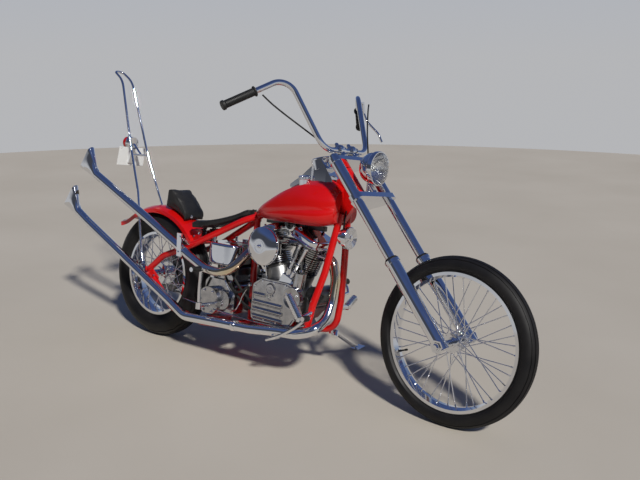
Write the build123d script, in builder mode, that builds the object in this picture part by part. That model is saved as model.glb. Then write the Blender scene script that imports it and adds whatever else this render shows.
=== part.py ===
"""A rigid-frame chopper motorcycle, parked leaning on its side stand.

The machine is drawn upright: X forward from the rear axle, Y to its left, Z up from the
floor under the tyres. save() then leans each finished piece over onto the side stand and
brings the origin to the floor under the middle of the whole machine.
"""

from build123d import *
from math import cos, radians, sin, sqrt, tan
import os

os.makedirs("parts", exist_ok=True)

# ---------------------------------------------------------------- driving dimensions (mm)
WHEELBASE = 1750
LEAN = 9.2                      # degrees to the left, on the side stand
RAKE = 41.3                     # degrees of the fork from the vertical
FORK_OFFSET = 50                # fork legs ahead of the steering axis
ORIGIN = (711, 196)             # floor point under the middle of the parked machine

FRONT_TYRE_R, FRONT_TYRE_HALF = 348, 42
FRONT_RIM_R, FRONT_RIM_HALF = 281, 33
REAR_TYRE_R, REAR_TYRE_HALF = 333, 63
REAR_RIM_R, REAR_RIM_HALF = 218, 46
AXLE_R = 9                      # front axle
REAR_AXLE_R = 12
RUNNING = 0.05                  # radial clearance of a shaft in its bearing
PIN_GAP = 1.5                   # end clearance beside a bearing

FRAME_TUBE = 32                 # outer diameter of the frame's tubes
RAIL_HALF = 112                 # rails and stays from the middle, at the axle plates
PLATE = 12                      # thickness of an axle plate

LEG_HALF = 124                  # fork legs from the middle
LEG_TUBE = 41                   # fork tube diameter
SLIDER = 58                     # fork slider diameter
SLIDER_TOP = 393                # along the fork from the front axle
LOWER_TREE, UPPER_TREE = (690, 714), (885, 905)
STEM_R = 14
NECK_R = 29

CRANK = (870, 330)              # crankshaft centre, forward and up
V_HALF = 22.5                   # each cylinder from the vertical, degrees
BARREL_FOOT, BARREL_TOP, HEAD_TOP, COVER_TOP = 178, 285, 343, 378
BARREL_R, FIN_R, HEAD_R = 50, 71, 74
COVER_LONG, COVER_WIDE = 160, 178     # a rocker cover, along and across the machine
FIN_PITCH, FIN_THICK = 9, 3.2

GEARBOX = (512, 312)            # gearbox centre
CLUTCH = (535, 330)             # clutch centre
CHAIN_Y, CHAIN_WIDTH = 80, 16
SPROCKET_REAR, SPROCKET_FRONT = 96, 44.2
CHAIN_GAP = 5.5                 # between the chain's loop and a sprocket

PIPE = 44                       # exhaust pipe diameter
PIPE_Y = -156                   # exhaust pipes from the middle
BAR = 25.4                      # handlebar diameter
ROD = 13                        # sissy bar rod diameter
STAND_PIVOT = (1052, 158, 214)
STAND_FOOT = (985, 478)         # on the floor, parked: forward, and to the left
STAND_TILT = 20                 # degrees the stand's hinge leans back

# ---------------------------------------------------------------- frames of reference
def ride_height(radius, crown):
    """Axle height of a tyre that leans by LEAN on its round crown."""
    return radius + crown * (1 / cos(radians(LEAN)) - 1)


FRONT_AXLE = Vector(WHEELBASE, 0, ride_height(FRONT_TYRE_R, FRONT_TYRE_HALF))
REAR_AXLE = Vector(0, 0, ride_height(REAR_TYRE_R, REAR_TYRE_HALF))
FORWARD_OF_FORK = Vector(cos(radians(RAKE)), 0, sin(radians(RAKE)))
UP_FORK = Vector(-sin(radians(RAKE)), 0, cos(radians(RAKE)))
# The steering's own plane: X ahead of the axis, Y to the left, Z up along the axis.
STEERING = Plane(FRONT_AXLE - FORWARD_OF_FORK * FORK_OFFSET, FORWARD_OF_FORK, UP_FORK)
NECK = STEERING.from_local_coords(Vector(0, 0, LOWER_TREE[1]))  # foot of the steering neck
# The floor, as the upright machine sees it.
FLOOR = Plane((0, 0, 0), (1, 0, 0), (0, -sin(radians(LEAN)), cos(radians(LEAN))))
BASE = (Align.CENTER, Align.CENTER, Align.MIN)


def save(piece, name):
    """Lean a finished piece over onto the stand, label it and write it."""
    parked = piece.rotate(Axis.X, -LEAN).translate((-ORIGIN[0], -ORIGIN[1], 0))
    parked.label = name
    export_step(parked, f"parts/{name}.step")


# ---------------------------------------------------------------- helpers
def bends(points, largest):
    """A bend radius for each corner: as large as its two runs allow, up to the largest."""
    corners = [Vector(*point) for point in points]
    radii = []
    for before, at, after in zip(corners, corners[1:], corners[2:]):
        half_turn = radians((at - before).get_angle(after - at)) / 2
        shorter = min((at - before).length, (after - at).length)
        radii.append(min(largest, 0.45 * shorter / tan(half_turn)))
    return radii


def bent_tube(points, diameter, largest=400, mode=Mode.ADD):
    """Add a round tube along straight runs joined by tangent arcs."""
    with BuildLine() as route:
        FilletPolyline(*points, radius=bends(points, largest))
    with BuildSketch(Plane(route.line @ 0, z_dir=route.line % 0)) as section:
        Circle(diameter / 2)
    sweep(section.sketch, path=route.line, mode=mode)


def rod(start, end, diameter, mode=Mode.ADD):
    """Add a straight round bar between two points."""
    start, end = Vector(*start), Vector(*end)
    with Locations(Location(Plane(start, z_dir=end - start))):
        Cylinder(diameter / 2, (end - start).length, align=BASE, mode=mode)


def cross_bar(x, z, left, right, radius, mode=Mode.ADD):
    """Add a round bar across the machine, from its left end to its right end."""
    rod((x, left, z), (x, right, z), 2 * radius, mode)


def side_plate(points, outer, inner, mode=Mode.ADD):
    """Add a plate of a side-view outline between two distances from the middle."""
    with BuildSketch(Plane.XZ.offset(-inner)) as outline:
        Polygon(*points, align=None)
    extrude(outline.sketch, amount=inner - outer, mode=mode)


def on_fork(x, y, z):
    """A point given in the steering's own plane."""
    return STEERING.from_local_coords(Vector(x, y, z))


def beside(base, offsets):
    """Side-view points, forward and up, given from a base point."""
    return [(base.X + x, base.Z + z) for x, z in offsets]


def around(base, offsets):
    """Points given from a base point."""
    return [base + Vector(*offset) for offset in offsets]


# ---------------------------------------------------------------- wheels
SPOKES = 40
SPOKE_R = 2.1
SPOKE_SWEEP = 54                # degrees a spoke swings round the hub
TREAD_FLANGE = 5                # rim flange above the tyre's seat
BEAD = 4                        # thickness of a rim flange
CROWN_CORNERS = (-90, -50, -LEAN, LEAN, 50, 90)  # of a tyre's cut face, degrees from its top
TYRE_SIDES = 80                 # flats round a tyre, one of them on the floor


def tyre_section(radius, half, rim_radius, rim_half):
    """Half a tyre's cut face: round crown in flats, sidewalls, and its seat on the rim."""
    seat, shoulder = rim_radius - 2, radius - half
    inner = rim_half - BEAD
    crown = [(half * sin(radians(angle)), shoulder + half * cos(radians(angle)))
             for angle in CROWN_CORNERS]
    with BuildSketch(Plane.YZ) as section:
        with BuildLine():
            Polyline(*crown, (inner, seat + TREAD_FLANGE + 2), (inner, seat),
                     (-inner, seat), (-inner, seat + TREAD_FLANGE + 2), crown[0])
        make_face()
    return section.sketch


def tyre_loop(radius):
    """The many-sided loop that a tyre's cut face follows, from the middle of its top flat."""
    corner = radius / cos(radians(180 / TYRE_SIDES))
    turns = [radians(360 * (side + 0.5) / TYRE_SIDES) for side in range(TYRE_SIDES)]
    with BuildLine(Plane.XZ) as loop:
        Polyline((0, radius), *[(corner * sin(turn), corner * cos(turn)) for turn in turns],
                 close=True)
    return loop.line


def rim_section(rim_radius, rim_half):
    """A rim's cut face: the well that carries the tyre, between two flanges."""
    seat = rim_radius - 2
    inner = rim_half - BEAD
    with BuildSketch(Plane.YZ) as section:
        with BuildLine():
            Polyline((-inner, seat), (inner, seat), (inner, seat + TREAD_FLANGE),
                     (rim_half, seat + TREAD_FLANGE), (rim_half, seat - 8), (9, seat - 17),
                     (-9, seat - 17), (-rim_half, seat - 8), (-rim_half, seat + TREAD_FLANGE),
                     (-inner, seat + TREAD_FLANGE), (-inner, seat))
        make_face()
    return section.sketch


def spoke_places(seat, flange_radius, flange_out):
    """Where each cross-laced spoke starts, and the length that reaches into the rim."""
    places = []
    for hole in range(SPOKES):
        side = 1 if hole % 2 == 0 else -1
        swing = 1 if hole // 2 % 2 == 0 else -1
        at_rim = radians(360 / SPOKES * hole)
        at_hub = at_rim + radians(swing * SPOKE_SWEEP)
        out = side * (flange_out + swing * 2.5)
        inner = Vector(flange_radius * cos(at_hub), out, flange_radius * sin(at_hub))
        outer = Vector((seat - 12) * cos(at_rim), side * 6, (seat - 12) * sin(at_rim))
        places.append(Location(Plane(inner, z_dir=outer - inner)))
        length = (outer - inner).length
    return places, length


# columns: name, axle, tyre radius and half width, rim radius and half width, axle radius,
#          hub barrel radius, flange radius, flange from the middle, hub end from the middle
WHEELS = (
    ("front", FRONT_AXLE, FRONT_TYRE_R, FRONT_TYRE_HALF, FRONT_RIM_R, FRONT_RIM_HALF,
     AXLE_R, 22, 40, 31, 46),
    ("rear", REAR_AXLE, REAR_TYRE_R, REAR_TYRE_HALF, REAR_RIM_R, REAR_RIM_HALF,
     REAR_AXLE_R, 36, 62, 34, 44),
)
for (name, axle, radius, half, rim_radius, rim_half, axle_radius, barrel_radius,
     flange_radius, flange_out, hub_end) in WHEELS:
    with BuildPart() as tyre:
        sweep(tyre_section(radius, half, rim_radius, rim_half), path=tyre_loop(radius),
              transition=Transition.RIGHT)
    save(tyre.part.translate(axle), f"{name}_tyre")

    with BuildPart() as wheel:
        revolve(rim_section(rim_radius, rim_half), axis=Axis.Y)
        spokes, spoke_length = spoke_places(rim_radius - 2, flange_radius - 6, flange_out)
        with Locations(*spokes):
            Cylinder(SPOKE_R, spoke_length, align=BASE)
        cross_bar(0, 0, hub_end, -hub_end, barrel_radius)
        for side in (-1, 1):
            cross_bar(0, 0, side * flange_out + 4, side * flange_out - 4, flange_radius)
        cross_bar(0, 0, hub_end + 1, -hub_end - 1, axle_radius + RUNNING, Mode.SUBTRACT)
    save(wheel.part.translate(axle), f"{name}_rim")

SPROCKET_TEETH, TOOTH = 48, 6
DRUM_R = 98
with BuildPart() as rear_sprocket:
    cross_bar(0, REAR_AXLE.Z, CHAIN_Y - 3, 44, DRUM_R - 6)
    cross_bar(0, REAR_AXLE.Z, 66, 50, DRUM_R)
    with BuildSketch(Plane.XZ.offset(-CHAIN_Y - 3.5)):
        with Locations((0, REAR_AXLE.Z)):
            Circle(SPROCKET_REAR - TOOTH)
            with PolarLocations(SPROCKET_REAR - TOOTH, SPROCKET_TEETH):
                Trapezoid(10, 2 * TOOTH, 75, rotation=-90)
    extrude(amount=7)
    cross_bar(0, REAR_AXLE.Z, CHAIN_Y + 9, 43, REAR_AXLE_R + RUNNING, Mode.SUBTRACT)
save(rear_sprocket.part, "rear_sprocket")

with BuildPart() as rear_axle:
    cross_bar(0, REAR_AXLE.Z, 140, -130, REAR_AXLE_R)
    cross_bar(0, REAR_AXLE.Z, RAIL_HALF - PLATE / 2, CHAIN_Y + 3.5 + PIN_GAP, 20)
    cross_bar(0, REAR_AXLE.Z, -44 - PIN_GAP, PLATE / 2 - RAIL_HALF, 20)
    for side in (-1, 1):
        outer = side * (RAIL_HALF + PLATE / 2)
        rod((0, outer, REAR_AXLE.Z), (0, outer + side * 8, REAR_AXLE.Z), 40)
save(rear_axle.part, "rear_axle")

# ---------------------------------------------------------------- frame
RAIL_CORNER_Y = 116
with BuildPart() as frame_rails:
    for side in (-1, 1):
        bent_tube([NECK + Vector(-95, side * 27, -62), (1124, side * 72, 527),
                   (1102, side * 106, 385),
                   (1080, side * RAIL_CORNER_Y, 236), (430, side * RAIL_HALF, 167),
                   (210, side * RAIL_HALF, 196), (60, side * RAIL_HALF, 322)],
                  FRAME_TUBE, 110)
    for side in (-1, 1):
        outer = side * RAIL_HALF + PLATE / 2
        side_plate([(-52, 318), (-40, 372), (30, 378), (92, 330), (70, 290), (-20, 300)],
                   outer - PLATE, outer)
    # cross plates: forward end, rear end, top
    for front, back, top in ((1030, 975, 244), (742, 692, 212), (600, 440, 193)):
        with Locations(((front + back) / 2, 0, top - 6)):
            Box(front - back, 2 * RAIL_HALF, 12)
    cross_bar(0, REAR_AXLE.Z, 140, -140, REAR_AXLE_R, Mode.SUBTRACT)

BACKBONE = 38
POST_TOP, POST_FOOT = (640, 716), (653, 206)
with BuildPart() as frame_neck:
    with Locations(STEERING.location * Location((0, 0, LOWER_TREE[1] + PIN_GAP))):
        Cylinder(NECK_R, UPPER_TREE[0] - LOWER_TREE[1] - 2 * PIN_GAP, align=BASE)
    side_plate(beside(NECK, ((-19, 14), (-91, 110), (-145, 86), (-123, -92), (-91, -100))),
               -15, 15)
    rod(NECK + Vector(-123, 0, 52), (POST_TOP[0], 0, POST_TOP[1] + 4), BACKBONE)
    rod((POST_TOP[0], 0, POST_TOP[1] - 22), (POST_TOP[0], 0, POST_TOP[1] + 22), BACKBONE)
    rod((POST_TOP[0], 0, POST_TOP[1] - 20), (POST_FOOT[0], 0, POST_FOOT[1]), FRAME_TUBE)
    with Locations(STEERING.location * Location((0, 0, LOWER_TREE[0]))):
        Cylinder(STEM_R + RUNNING, 240, align=BASE, mode=Mode.SUBTRACT)
    add(frame_rails.part, mode=Mode.SUBTRACT)
save(frame_neck.part, "frame_spine")
save(frame_rails.part, "frame_rails")

with BuildPart() as frame_stays:
    for side in (-1, 1):
        bent_tube([(POST_TOP[0], side * 12, POST_TOP[1]), (598, side * 48, 694),
                   (298, side * 106, 526), (116, side * RAIL_HALF, 448),
                   (20, side * RAIL_HALF, 366)], FRAME_TUBE, 120)
    add(frame_rails.part, mode=Mode.SUBTRACT)
    add(frame_neck.part, mode=Mode.SUBTRACT)
save(frame_stays.part, "frame_stays")

# ---------------------------------------------------------------- steering
def tree(heights, hub_radius, leg_radius):
    """A fork yoke: one plate round the stem and both legs."""
    with BuildSketch(STEERING.offset(heights[0])) as outline:
        Circle(hub_radius)
        with Locations((FORK_OFFSET, LEG_HALF), (FORK_OFFSET, -LEG_HALF)):
            Circle(leg_radius)
        make_hull()
    extrude(outline.sketch, amount=heights[1] - heights[0])


def fork_rod(x, y, low, high, radius, mode=Mode.ADD):
    """A round bar along the fork, between two heights on the steering axis."""
    rod(on_fork(x, y, low), on_fork(x, y, high), 2 * radius, mode)


with BuildPart() as lower_tree:
    tree(LOWER_TREE, 34, 32)
    fork_rod(0, 0, LOWER_TREE[0], UPPER_TREE[0] - 0.5, STEM_R)
    for side in (-1, 1):
        fork_rod(FORK_OFFSET, side * LEG_HALF, LOWER_TREE[1] - 1, UPPER_TREE[0], 25)
    fork_rod(FORK_OFFSET + 22, 0, LOWER_TREE[1] - 1, 762, 11)
    for side in (-1, 1):
        fork_rod(FORK_OFFSET, side * LEG_HALF, 600, 900, LEG_TUBE / 2, Mode.SUBTRACT)

RISER_X, RISER_Y, BAR_Z = FORK_OFFSET, 45, 954
CLAMP = on_fork(RISER_X, 0, BAR_Z)
# half of the handlebar, from the grip's end: forward of the clamp, from the middle, above it
BAR_OFFSETS = ((-283, 495, 137), (-155, 258, 287), (0, 163, 0))
BAR_POINTS = [(CLAMP.X + x, y, CLAMP.Z + z) for x, y, z in BAR_OFFSETS]
bar_route = [(x, -y, z) for x, y, z in BAR_POINTS]
bar_route += [(x, y, z) for x, y, z in reversed(BAR_POINTS)]
with BuildPart() as handlebar:
    bent_tube(bar_route, BAR, 75)
    rod(*around(CLAMP, ((-170, 330, 247), (-165, 345, 197))), 22)
    bent_tube(around(CLAMP, ((-165, 345, 201), (-145, 352, 157), (-80, 366, 103),
                             (-60, 372, 65))), 11, 60)

with BuildPart() as upper_tree:
    tree(UPPER_TREE, 30, 29)
    for side in (-1, 1):
        fork_rod(RISER_X, side * RISER_Y, UPPER_TREE[1] - 1, BAR_Z - 10, 15)
        rod(on_fork(RISER_X, side * RISER_Y - 18, BAR_Z),
            on_fork(RISER_X, side * RISER_Y + 18, BAR_Z), 44)
        fork_rod(FORK_OFFSET, side * LEG_HALF, UPPER_TREE[1] - 1, UPPER_TREE[1] + 14, 22)
    fork_rod(0, 0, UPPER_TREE[1] - 1, UPPER_TREE[1] + 16, 19)
    add(handlebar.part, mode=Mode.SUBTRACT)
    for side in (-1, 1):
        fork_rod(FORK_OFFSET, side * LEG_HALF, 800, UPPER_TREE[1], LEG_TUBE / 2, Mode.SUBTRACT)
save(lower_tree.part, "lower_tree")
save(upper_tree.part, "upper_tree")

GRIP_LENGTH, GRIP_R = 150, 17
with BuildPart() as grips:
    for side in (-1, 1):
        end, bend = [Vector(x, side * y, z) for x, y, z in BAR_POINTS[:2]]
        inward = (bend - end).normalized()
        tip = end - inward * 8
        rod(tip, end + inward * GRIP_LENGTH, 2 * GRIP_R)
        rod(tip, end + inward * 6, 2 * GRIP_R + 8)
        rod(end + inward * (GRIP_LENGTH - 6), end + inward * GRIP_LENGTH, 2 * GRIP_R + 12)
    add(handlebar.part, mode=Mode.SUBTRACT)
save(handlebar.part, "handlebar")
save(grips.part, "grips")

with BuildPart() as fork_tubes:
    for side in (-1, 1):
        fork_rod(FORK_OFFSET, side * LEG_HALF, SLIDER_TOP, UPPER_TREE[1], LEG_TUBE / 2)
save(fork_tubes.part, "fork_tubes")

with BuildPart() as front_axle:
    cross_bar(WHEELBASE, FRONT_AXLE.Z, LEG_HALF + 46, -LEG_HALF - 46, AXLE_R)
    for side in (-1, 1):
        cross_bar(WHEELBASE, FRONT_AXLE.Z, side * (LEG_HALF - 27), side * (46 + PIN_GAP), 15)
        cross_bar(WHEELBASE, FRONT_AXLE.Z, side * (LEG_HALF + 36), side * (LEG_HALF + 29), 15)

with BuildPart() as fork_sliders:
    for side in (-1, 1):
        fork_rod(FORK_OFFSET, side * LEG_HALF, -22, SLIDER_TOP - 14, SLIDER / 2)
        fork_rod(FORK_OFFSET, side * LEG_HALF, SLIDER_TOP - 14, SLIDER_TOP, SLIDER / 2 + 3)
    add(front_axle.part, mode=Mode.SUBTRACT)
save(fork_sliders.part, "fork_sliders")
save(front_axle.part, "front_axle")

LAMP, LAMP_R = (CLAMP.X + 180, CLAMP.Z - 60), 74
with BuildPart() as headlamp:
    with BuildSketch(Plane.XZ):
        with BuildLine():
            Polyline((LAMP[0], LAMP[1]), (LAMP[0], LAMP[1] + LAMP_R - 5),
                     (LAMP[0] + 6, LAMP[1] + LAMP_R - 5), (LAMP[0] + 6, LAMP[1] + LAMP_R),
                     (LAMP[0] - 14, LAMP[1] + LAMP_R), (LAMP[0] - 22, LAMP[1] + LAMP_R - 5))
            ThreePointArc((LAMP[0] - 22, LAMP[1] + LAMP_R - 5), (LAMP[0] - 60, LAMP[1] + 50),
                          (LAMP[0] - 82, LAMP[1] + 14))
            Polyline((LAMP[0] - 82, LAMP[1] + 14), (LAMP[0] - 82, LAMP[1]), (LAMP[0], LAMP[1]))
        make_face()
    revolve(axis=Axis((0, 0, LAMP[1]), (1, 0, 0)))
    rod((LAMP[0] - 38, 0, LAMP[1] - 105), (LAMP[0] - 38, 0, LAMP[1] - 60), 24)
    add(lower_tree.part, mode=Mode.SUBTRACT)
save(headlamp.part, "headlamp")

with BuildPart() as headlamp_lens:
    with BuildSketch(Plane.XZ):
        with BuildLine():
            Polyline((LAMP[0] + 20, LAMP[1]), (LAMP[0], LAMP[1]), (LAMP[0], LAMP[1] + LAMP_R - 5),
                     (LAMP[0] + 6, LAMP[1] + LAMP_R - 5))
            ThreePointArc((LAMP[0] + 6, LAMP[1] + LAMP_R - 5), (LAMP[0] + 16.5, LAMP[1] + 36),
                          (LAMP[0] + 20, LAMP[1] + 8))
            Line((LAMP[0] + 20, LAMP[1] + 8), (LAMP[0] + 20, LAMP[1]))
        make_face()
    revolve(axis=Axis((0, 0, LAMP[1]), (1, 0, 0)))
save(headlamp_lens.part, "headlamp_lens")

# ---------------------------------------------------------------- fender and what it carries
FENDER_R, FENDER_HALF, FENDER_WALL = 355, 78, 3
FENDER_FROM, FENDER_SWEEP = 34, 93
# half of the sissy bar, from its foot on the axle plate to its tip
SISSY_POINTS = ((-24, 124.5, 400), (-42, 121, 440), (-168, 70, 750), (-267, 54, 965),
                (-411, 33, 1343), (-492, 28, 1392))
sissy_route = [(x, -y, z) for x, y, z in SISSY_POINTS]
sissy_route += [(x, y, z) for x, y, z in reversed(SISSY_POINTS)]
with BuildPart() as sissy_bar:
    bent_tube(sissy_route, ROD, 120)
    for side in (-1, 1):
        side_plate([(-40, 340), (-48, 410), (-8, 410), (0, 360)], side * 121 - 3, side * 121 + 3)
    add(rear_axle.part, mode=Mode.SUBTRACT)
save(sissy_bar.part, "sissy_bar")

with BuildPart() as rear_fender:
    with BuildLine(Plane.XZ) as fender_path:
        over = CenterArc((0, REAR_AXLE.Z), FENDER_R, FENDER_FROM, FENDER_SWEEP)
        JernArc(over @ 1, over % 1, 180, -25)
    path = fender_path.wire()
    with BuildSketch(Plane(path @ 0, x_dir=(0, -1, 0), z_dir=path % 0)) as fender_section:
        with BuildLine():
            outer_arc = ThreePointArc((-FENDER_HALF, -12), (0, 10), (FENDER_HALF, -12))
            Polyline((FENDER_HALF, -12), (FENDER_HALF, -32), (FENDER_HALF - FENDER_WALL, -32),
                     (FENDER_HALF - FENDER_WALL, -13.5))
            ThreePointArc((FENDER_HALF - FENDER_WALL, -13.5), (0, 10 - FENDER_WALL),
                          (FENDER_WALL - FENDER_HALF, -13.5))
            Polyline((FENDER_WALL - FENDER_HALF, -13.5), (FENDER_WALL - FENDER_HALF, -32),
                     (-FENDER_HALF, -32), (-FENDER_HALF, -12))
        make_face()
    sweep(path=path)
    for side in (-1, 1):
        side_plate([(236, 592), (322, 616), (330, 602), (312, 545), (268, 545)],
                   side * 58 - 3, side * 58 + 3)
    with Locations((311, 0, 551)):
        Box(46, 122, 6)
    rod((311, -100, 542), (311, 100, 542), 14)
    for side in (-1, 1):
        rod((-123, side * (FENDER_HALF - 2), 640), (-123, side * 92, 640), 16)
    add(frame_stays.part, mode=Mode.SUBTRACT)
    add(sissy_bar.part, mode=Mode.SUBTRACT)
save(rear_fender.part, "rear_fender")

SPRING_X, SPRING_HALF, SPRING_FOOT, SPRING_TOP = 313, 33, 554, 622
with BuildPart() as seat_springs:
    for side in (-1, 1):
        rod((SPRING_X, side * SPRING_HALF, SPRING_FOOT), (SPRING_X, side * SPRING_HALF, SPRING_TOP), 24)
        for turn in range(6):
            with Locations((SPRING_X, side * SPRING_HALF, SPRING_FOOT + 7 + 11 * turn)):
                Torus(15, 4)
save(seat_springs.part, "seat_springs")

# side view of the seat: X, Z from the tail along the top to the nose and back underneath
with BuildPart() as seat:
    with BuildSketch(Plane.XZ) as seat_side:
        with BuildLine():
            ThreePointArc((286, 655), (430, 675), (560, 730))
            Polyline((560, 730), (614, 757), (611, 724), (560, 704))
            ThreePointArc((560, 704), (430, 644), (286, 622))
            Line((286, 622), (286, 655))
        make_face()
    extrude(amount=120, both=True)
    with BuildSketch(Plane.XY.offset(560)) as seat_plan:
        with BuildLine():
            ThreePointArc((300, -115), (270, 0), (300, 115))
            Polyline((300, 115), (420, 112), (560, 50))
            ThreePointArc((560, 50), (616, 0), (560, -50))
            Polyline((560, -50), (420, -112), (300, -115))
        make_face()
    extrude(amount=260, mode=Mode.INTERSECT)
save(seat.part, "seat")

PAD_HALF = 73
with BuildPart() as pillion_pad:
    side_plate([(40, 620), (60, 792), (92, 796), (152, 748), (209, 684), (209, 600)],
               -PAD_HALF, PAD_HALF)
    fillet(pillion_pad.edges().filter_by(Axis.Y).group_by(Axis.Z)[-1], 12)
    fillet(pillion_pad.faces().filter_by(Axis.Y).edges(), 10)
    cross_bar(0, REAR_AXLE.Z, 130, -130, FENDER_R + 10.3, Mode.SUBTRACT)
save(pillion_pad.part, "pillion_pad")

TAIL_LAMP = (-366, 1006)
# the licence plate's own plane: X to the left, Y down, Z out to the rear
PLATE_FACE = Plane((-331, 0, 932), x_dir=(0, 1, 0), z_dir=(-25, 0, 4))
PLATE_WIDE, PLATE_HIGH, PLATE_THICK = 180, 101.3, 2
PLATE_BOLT, PLATE_BOLT_HALF, PLATE_BOLT_UP = 7, 73, 40  # hole diameter, and its place
with BuildPart() as plate_bracket:
    rod((-258, -53, 944), (-258, 53, 944), 10)
    side_plate([(-254, 938), (-254, 950), (-318, 1004), (-340, 1004), (-330, 985)], -8, 8)
    rod((-318, 0, TAIL_LAMP[1]), (TAIL_LAMP[0], 0, TAIL_LAMP[1]), 64)
    side_plate([(-300, 984), (-321.68, 984), (-335.92, 895), (-328, 895)], -20, 20)
    add(sissy_bar.part, mode=Mode.SUBTRACT)
save(plate_bracket.part, "plate_bracket")
with BuildPart() as tail_lamp:
    rod((TAIL_LAMP[0], 0, TAIL_LAMP[1]), (TAIL_LAMP[0] - 16, 0, TAIL_LAMP[1]), 58)
save(tail_lamp.part, "tail_lamp_lens")
with BuildPart() as licence_plate:
    with Locations(PLATE_FACE.location):
        Box(PLATE_WIDE, PLATE_HIGH, PLATE_THICK)
        with Locations((PLATE_BOLT_HALF, -PLATE_BOLT_UP), (-PLATE_BOLT_HALF, -PLATE_BOLT_UP)):
            Cylinder(PLATE_BOLT / 2, 3 * PLATE_THICK, mode=Mode.SUBTRACT)
    add(plate_bracket.part, mode=Mode.SUBTRACT)
save(licence_plate.part, "licence_plate")

# ---------------------------------------------------------------- fuel tank
TUNNEL = 24                     # half the gap between the two tank halves
# cross-sections of a half: X, underside Z, top Z at the tunnel, half width, widest Z,
#                           crease from the middle, crease Z
TANK_SECTIONS = (
    (650, 726, 752, 44, 738, 36, 748),
    (740, 721, 812, 88, 752, 62, 800),
    (850, 722, 880, 118, 768, 84, 858),
    (970, 726, 928, 130, 786, 92, 900),
    (1080, 729, 934, 120, 800, 84, 900),
    (1150, 752, 898, 84, 815, 64, 878),
)


def tank_half(side):
    """One side of the two-piece tank, lofted from nose to tail."""
    for x, low, top, widest, widest_z, crease, crease_z in TANK_SECTIONS:
        with BuildSketch(Plane.YZ.offset(x)) as section:
            with BuildLine():
                Polyline((side * crease, crease_z), (side * TUNNEL, top), (side * TUNNEL, low),
                         (side * (widest - 24), low))
                ThreePointArc((side * (widest - 24), low), (side * (widest - 5), low + 12),
                              (side * widest, widest_z))
                ThreePointArc((side * widest, widest_z),
                              (side * (widest - 0.22 * (widest - crease)), 0.5 * (widest_z + crease_z) + 9),
                              (side * crease, crease_z))
            make_face()
        yield section.sketch


tanks = {}
for name, side in (("left", 1), ("right", -1)):
    with BuildPart() as fuel_tank:
        loft(list(tank_half(side)))
        rod((1124, side * 72, 527), NECK + Vector(-92, side * 21, -27), FRAME_TUBE + 6,
            Mode.SUBTRACT)
    tanks[name] = fuel_tank.part
    save(fuel_tank.part, f"fuel_tank_{name}")

with BuildPart() as filler_caps:
    for side in (-1, 1):
        rod((957, side * 62, 890), (955, side * 66, 938), 56)
        rod((955, side * 66, 937), (955, side * 66.4, 944), 46)
    add(tanks["left"], mode=Mode.SUBTRACT)
    add(tanks["right"], mode=Mode.SUBTRACT)
save(filler_caps.part, "filler_caps")

DASH_HALF = 50
with BuildPart() as dash:
    side_plate([(838, 880), (842, 896), (905, 938), (968, 992), (1000, 1018), (1030, 1016),
                (1058, 985), (1086, 936), (1086, 915)], -DASH_HALF, DASH_HALF)
    fillet(dash.edges().filter_by(Axis.Y), 6)
    with BuildSketch(Plane.XY.offset(870)) as dash_plan:
        Polygon((830, 22), (830, -22), (965, -32), (988, -DASH_HALF), (1062, -DASH_HALF), (1088, -34),
                (1088, 34), (1062, DASH_HALF), (988, DASH_HALF), (965, 32), align=None)
        fillet(dash_plan.vertices(), 8)
    extrude(amount=160, mode=Mode.INTERSECT)
    rod((1010, 0, 975), (996, 0, 1020), 104)
    add(tanks["left"], mode=Mode.SUBTRACT)
    add(tanks["right"], mode=Mode.SUBTRACT)
    add(filler_caps.part, mode=Mode.SUBTRACT)
    add(frame_neck.part, mode=Mode.SUBTRACT)
save(dash.part, "dash")

# ---------------------------------------------------------------- engine
CASE_HALF = 75
COVER_OUT = 117                 # gear cover's outer face
FINS = 9


def bank(lean):
    """A cylinder's own plane: Z up its bore, X away from the other cylinder, Y across."""
    up = Vector(lean * sin(radians(V_HALF)), 0, cos(radians(V_HALF)))
    ahead = Vector(lean * cos(radians(V_HALF)), 0, -sin(radians(V_HALF)))
    return Plane((CRANK[0], 0, CRANK[1]), ahead, up)


def bore_cylinder(plane, radius, low, high, mode=Mode.ADD):
    """A round solid up a cylinder's axis, between two distances from the crank."""
    with Locations(plane.location * Location((0, 0, low))):
        Cylinder(radius, high - low, align=BASE, mode=mode)


BANKS = [bank(lean) for lean in (1, -1)]
GENERATOR, GENERATOR_R = (1064, 408), 45
with BuildPart() as generator:
    cross_bar(GENERATOR[0], GENERATOR[1], 72, -60, GENERATOR_R)
    cross_bar(GENERATOR[0], GENERATOR[1], 80, 71, GENERATOR_R - 6)
save(generator.part, "generator")

with BuildPart() as crankcase:
    cross_bar(CRANK[0], CRANK[1], CASE_HALF, -CASE_HALF, 126)
    for plane in BANKS:
        bore_cylinder(plane, 66, 60, BARREL_FOOT)
    cross_bar(CRANK[0], CRANK[1], 92, CASE_HALF - 1, 58)
    side_plate([(940, 300), (940, 420), (1030, 400), (1062, 350), (1010, 290)], -62, 62)
    side_plate([(960, 244), (1024, 244), (1024, 262), (975, 310), (900, 300)], -50, 50)
    side_plate([(694, 212), (740, 212), (820, 240), (800, 300), (740, 290), (694, 224)], -50, 50)
    add(generator.part, mode=Mode.SUBTRACT)
    add(frame_rails.part, mode=Mode.SUBTRACT)
save(crankcase.part, "crankcase")

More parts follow.
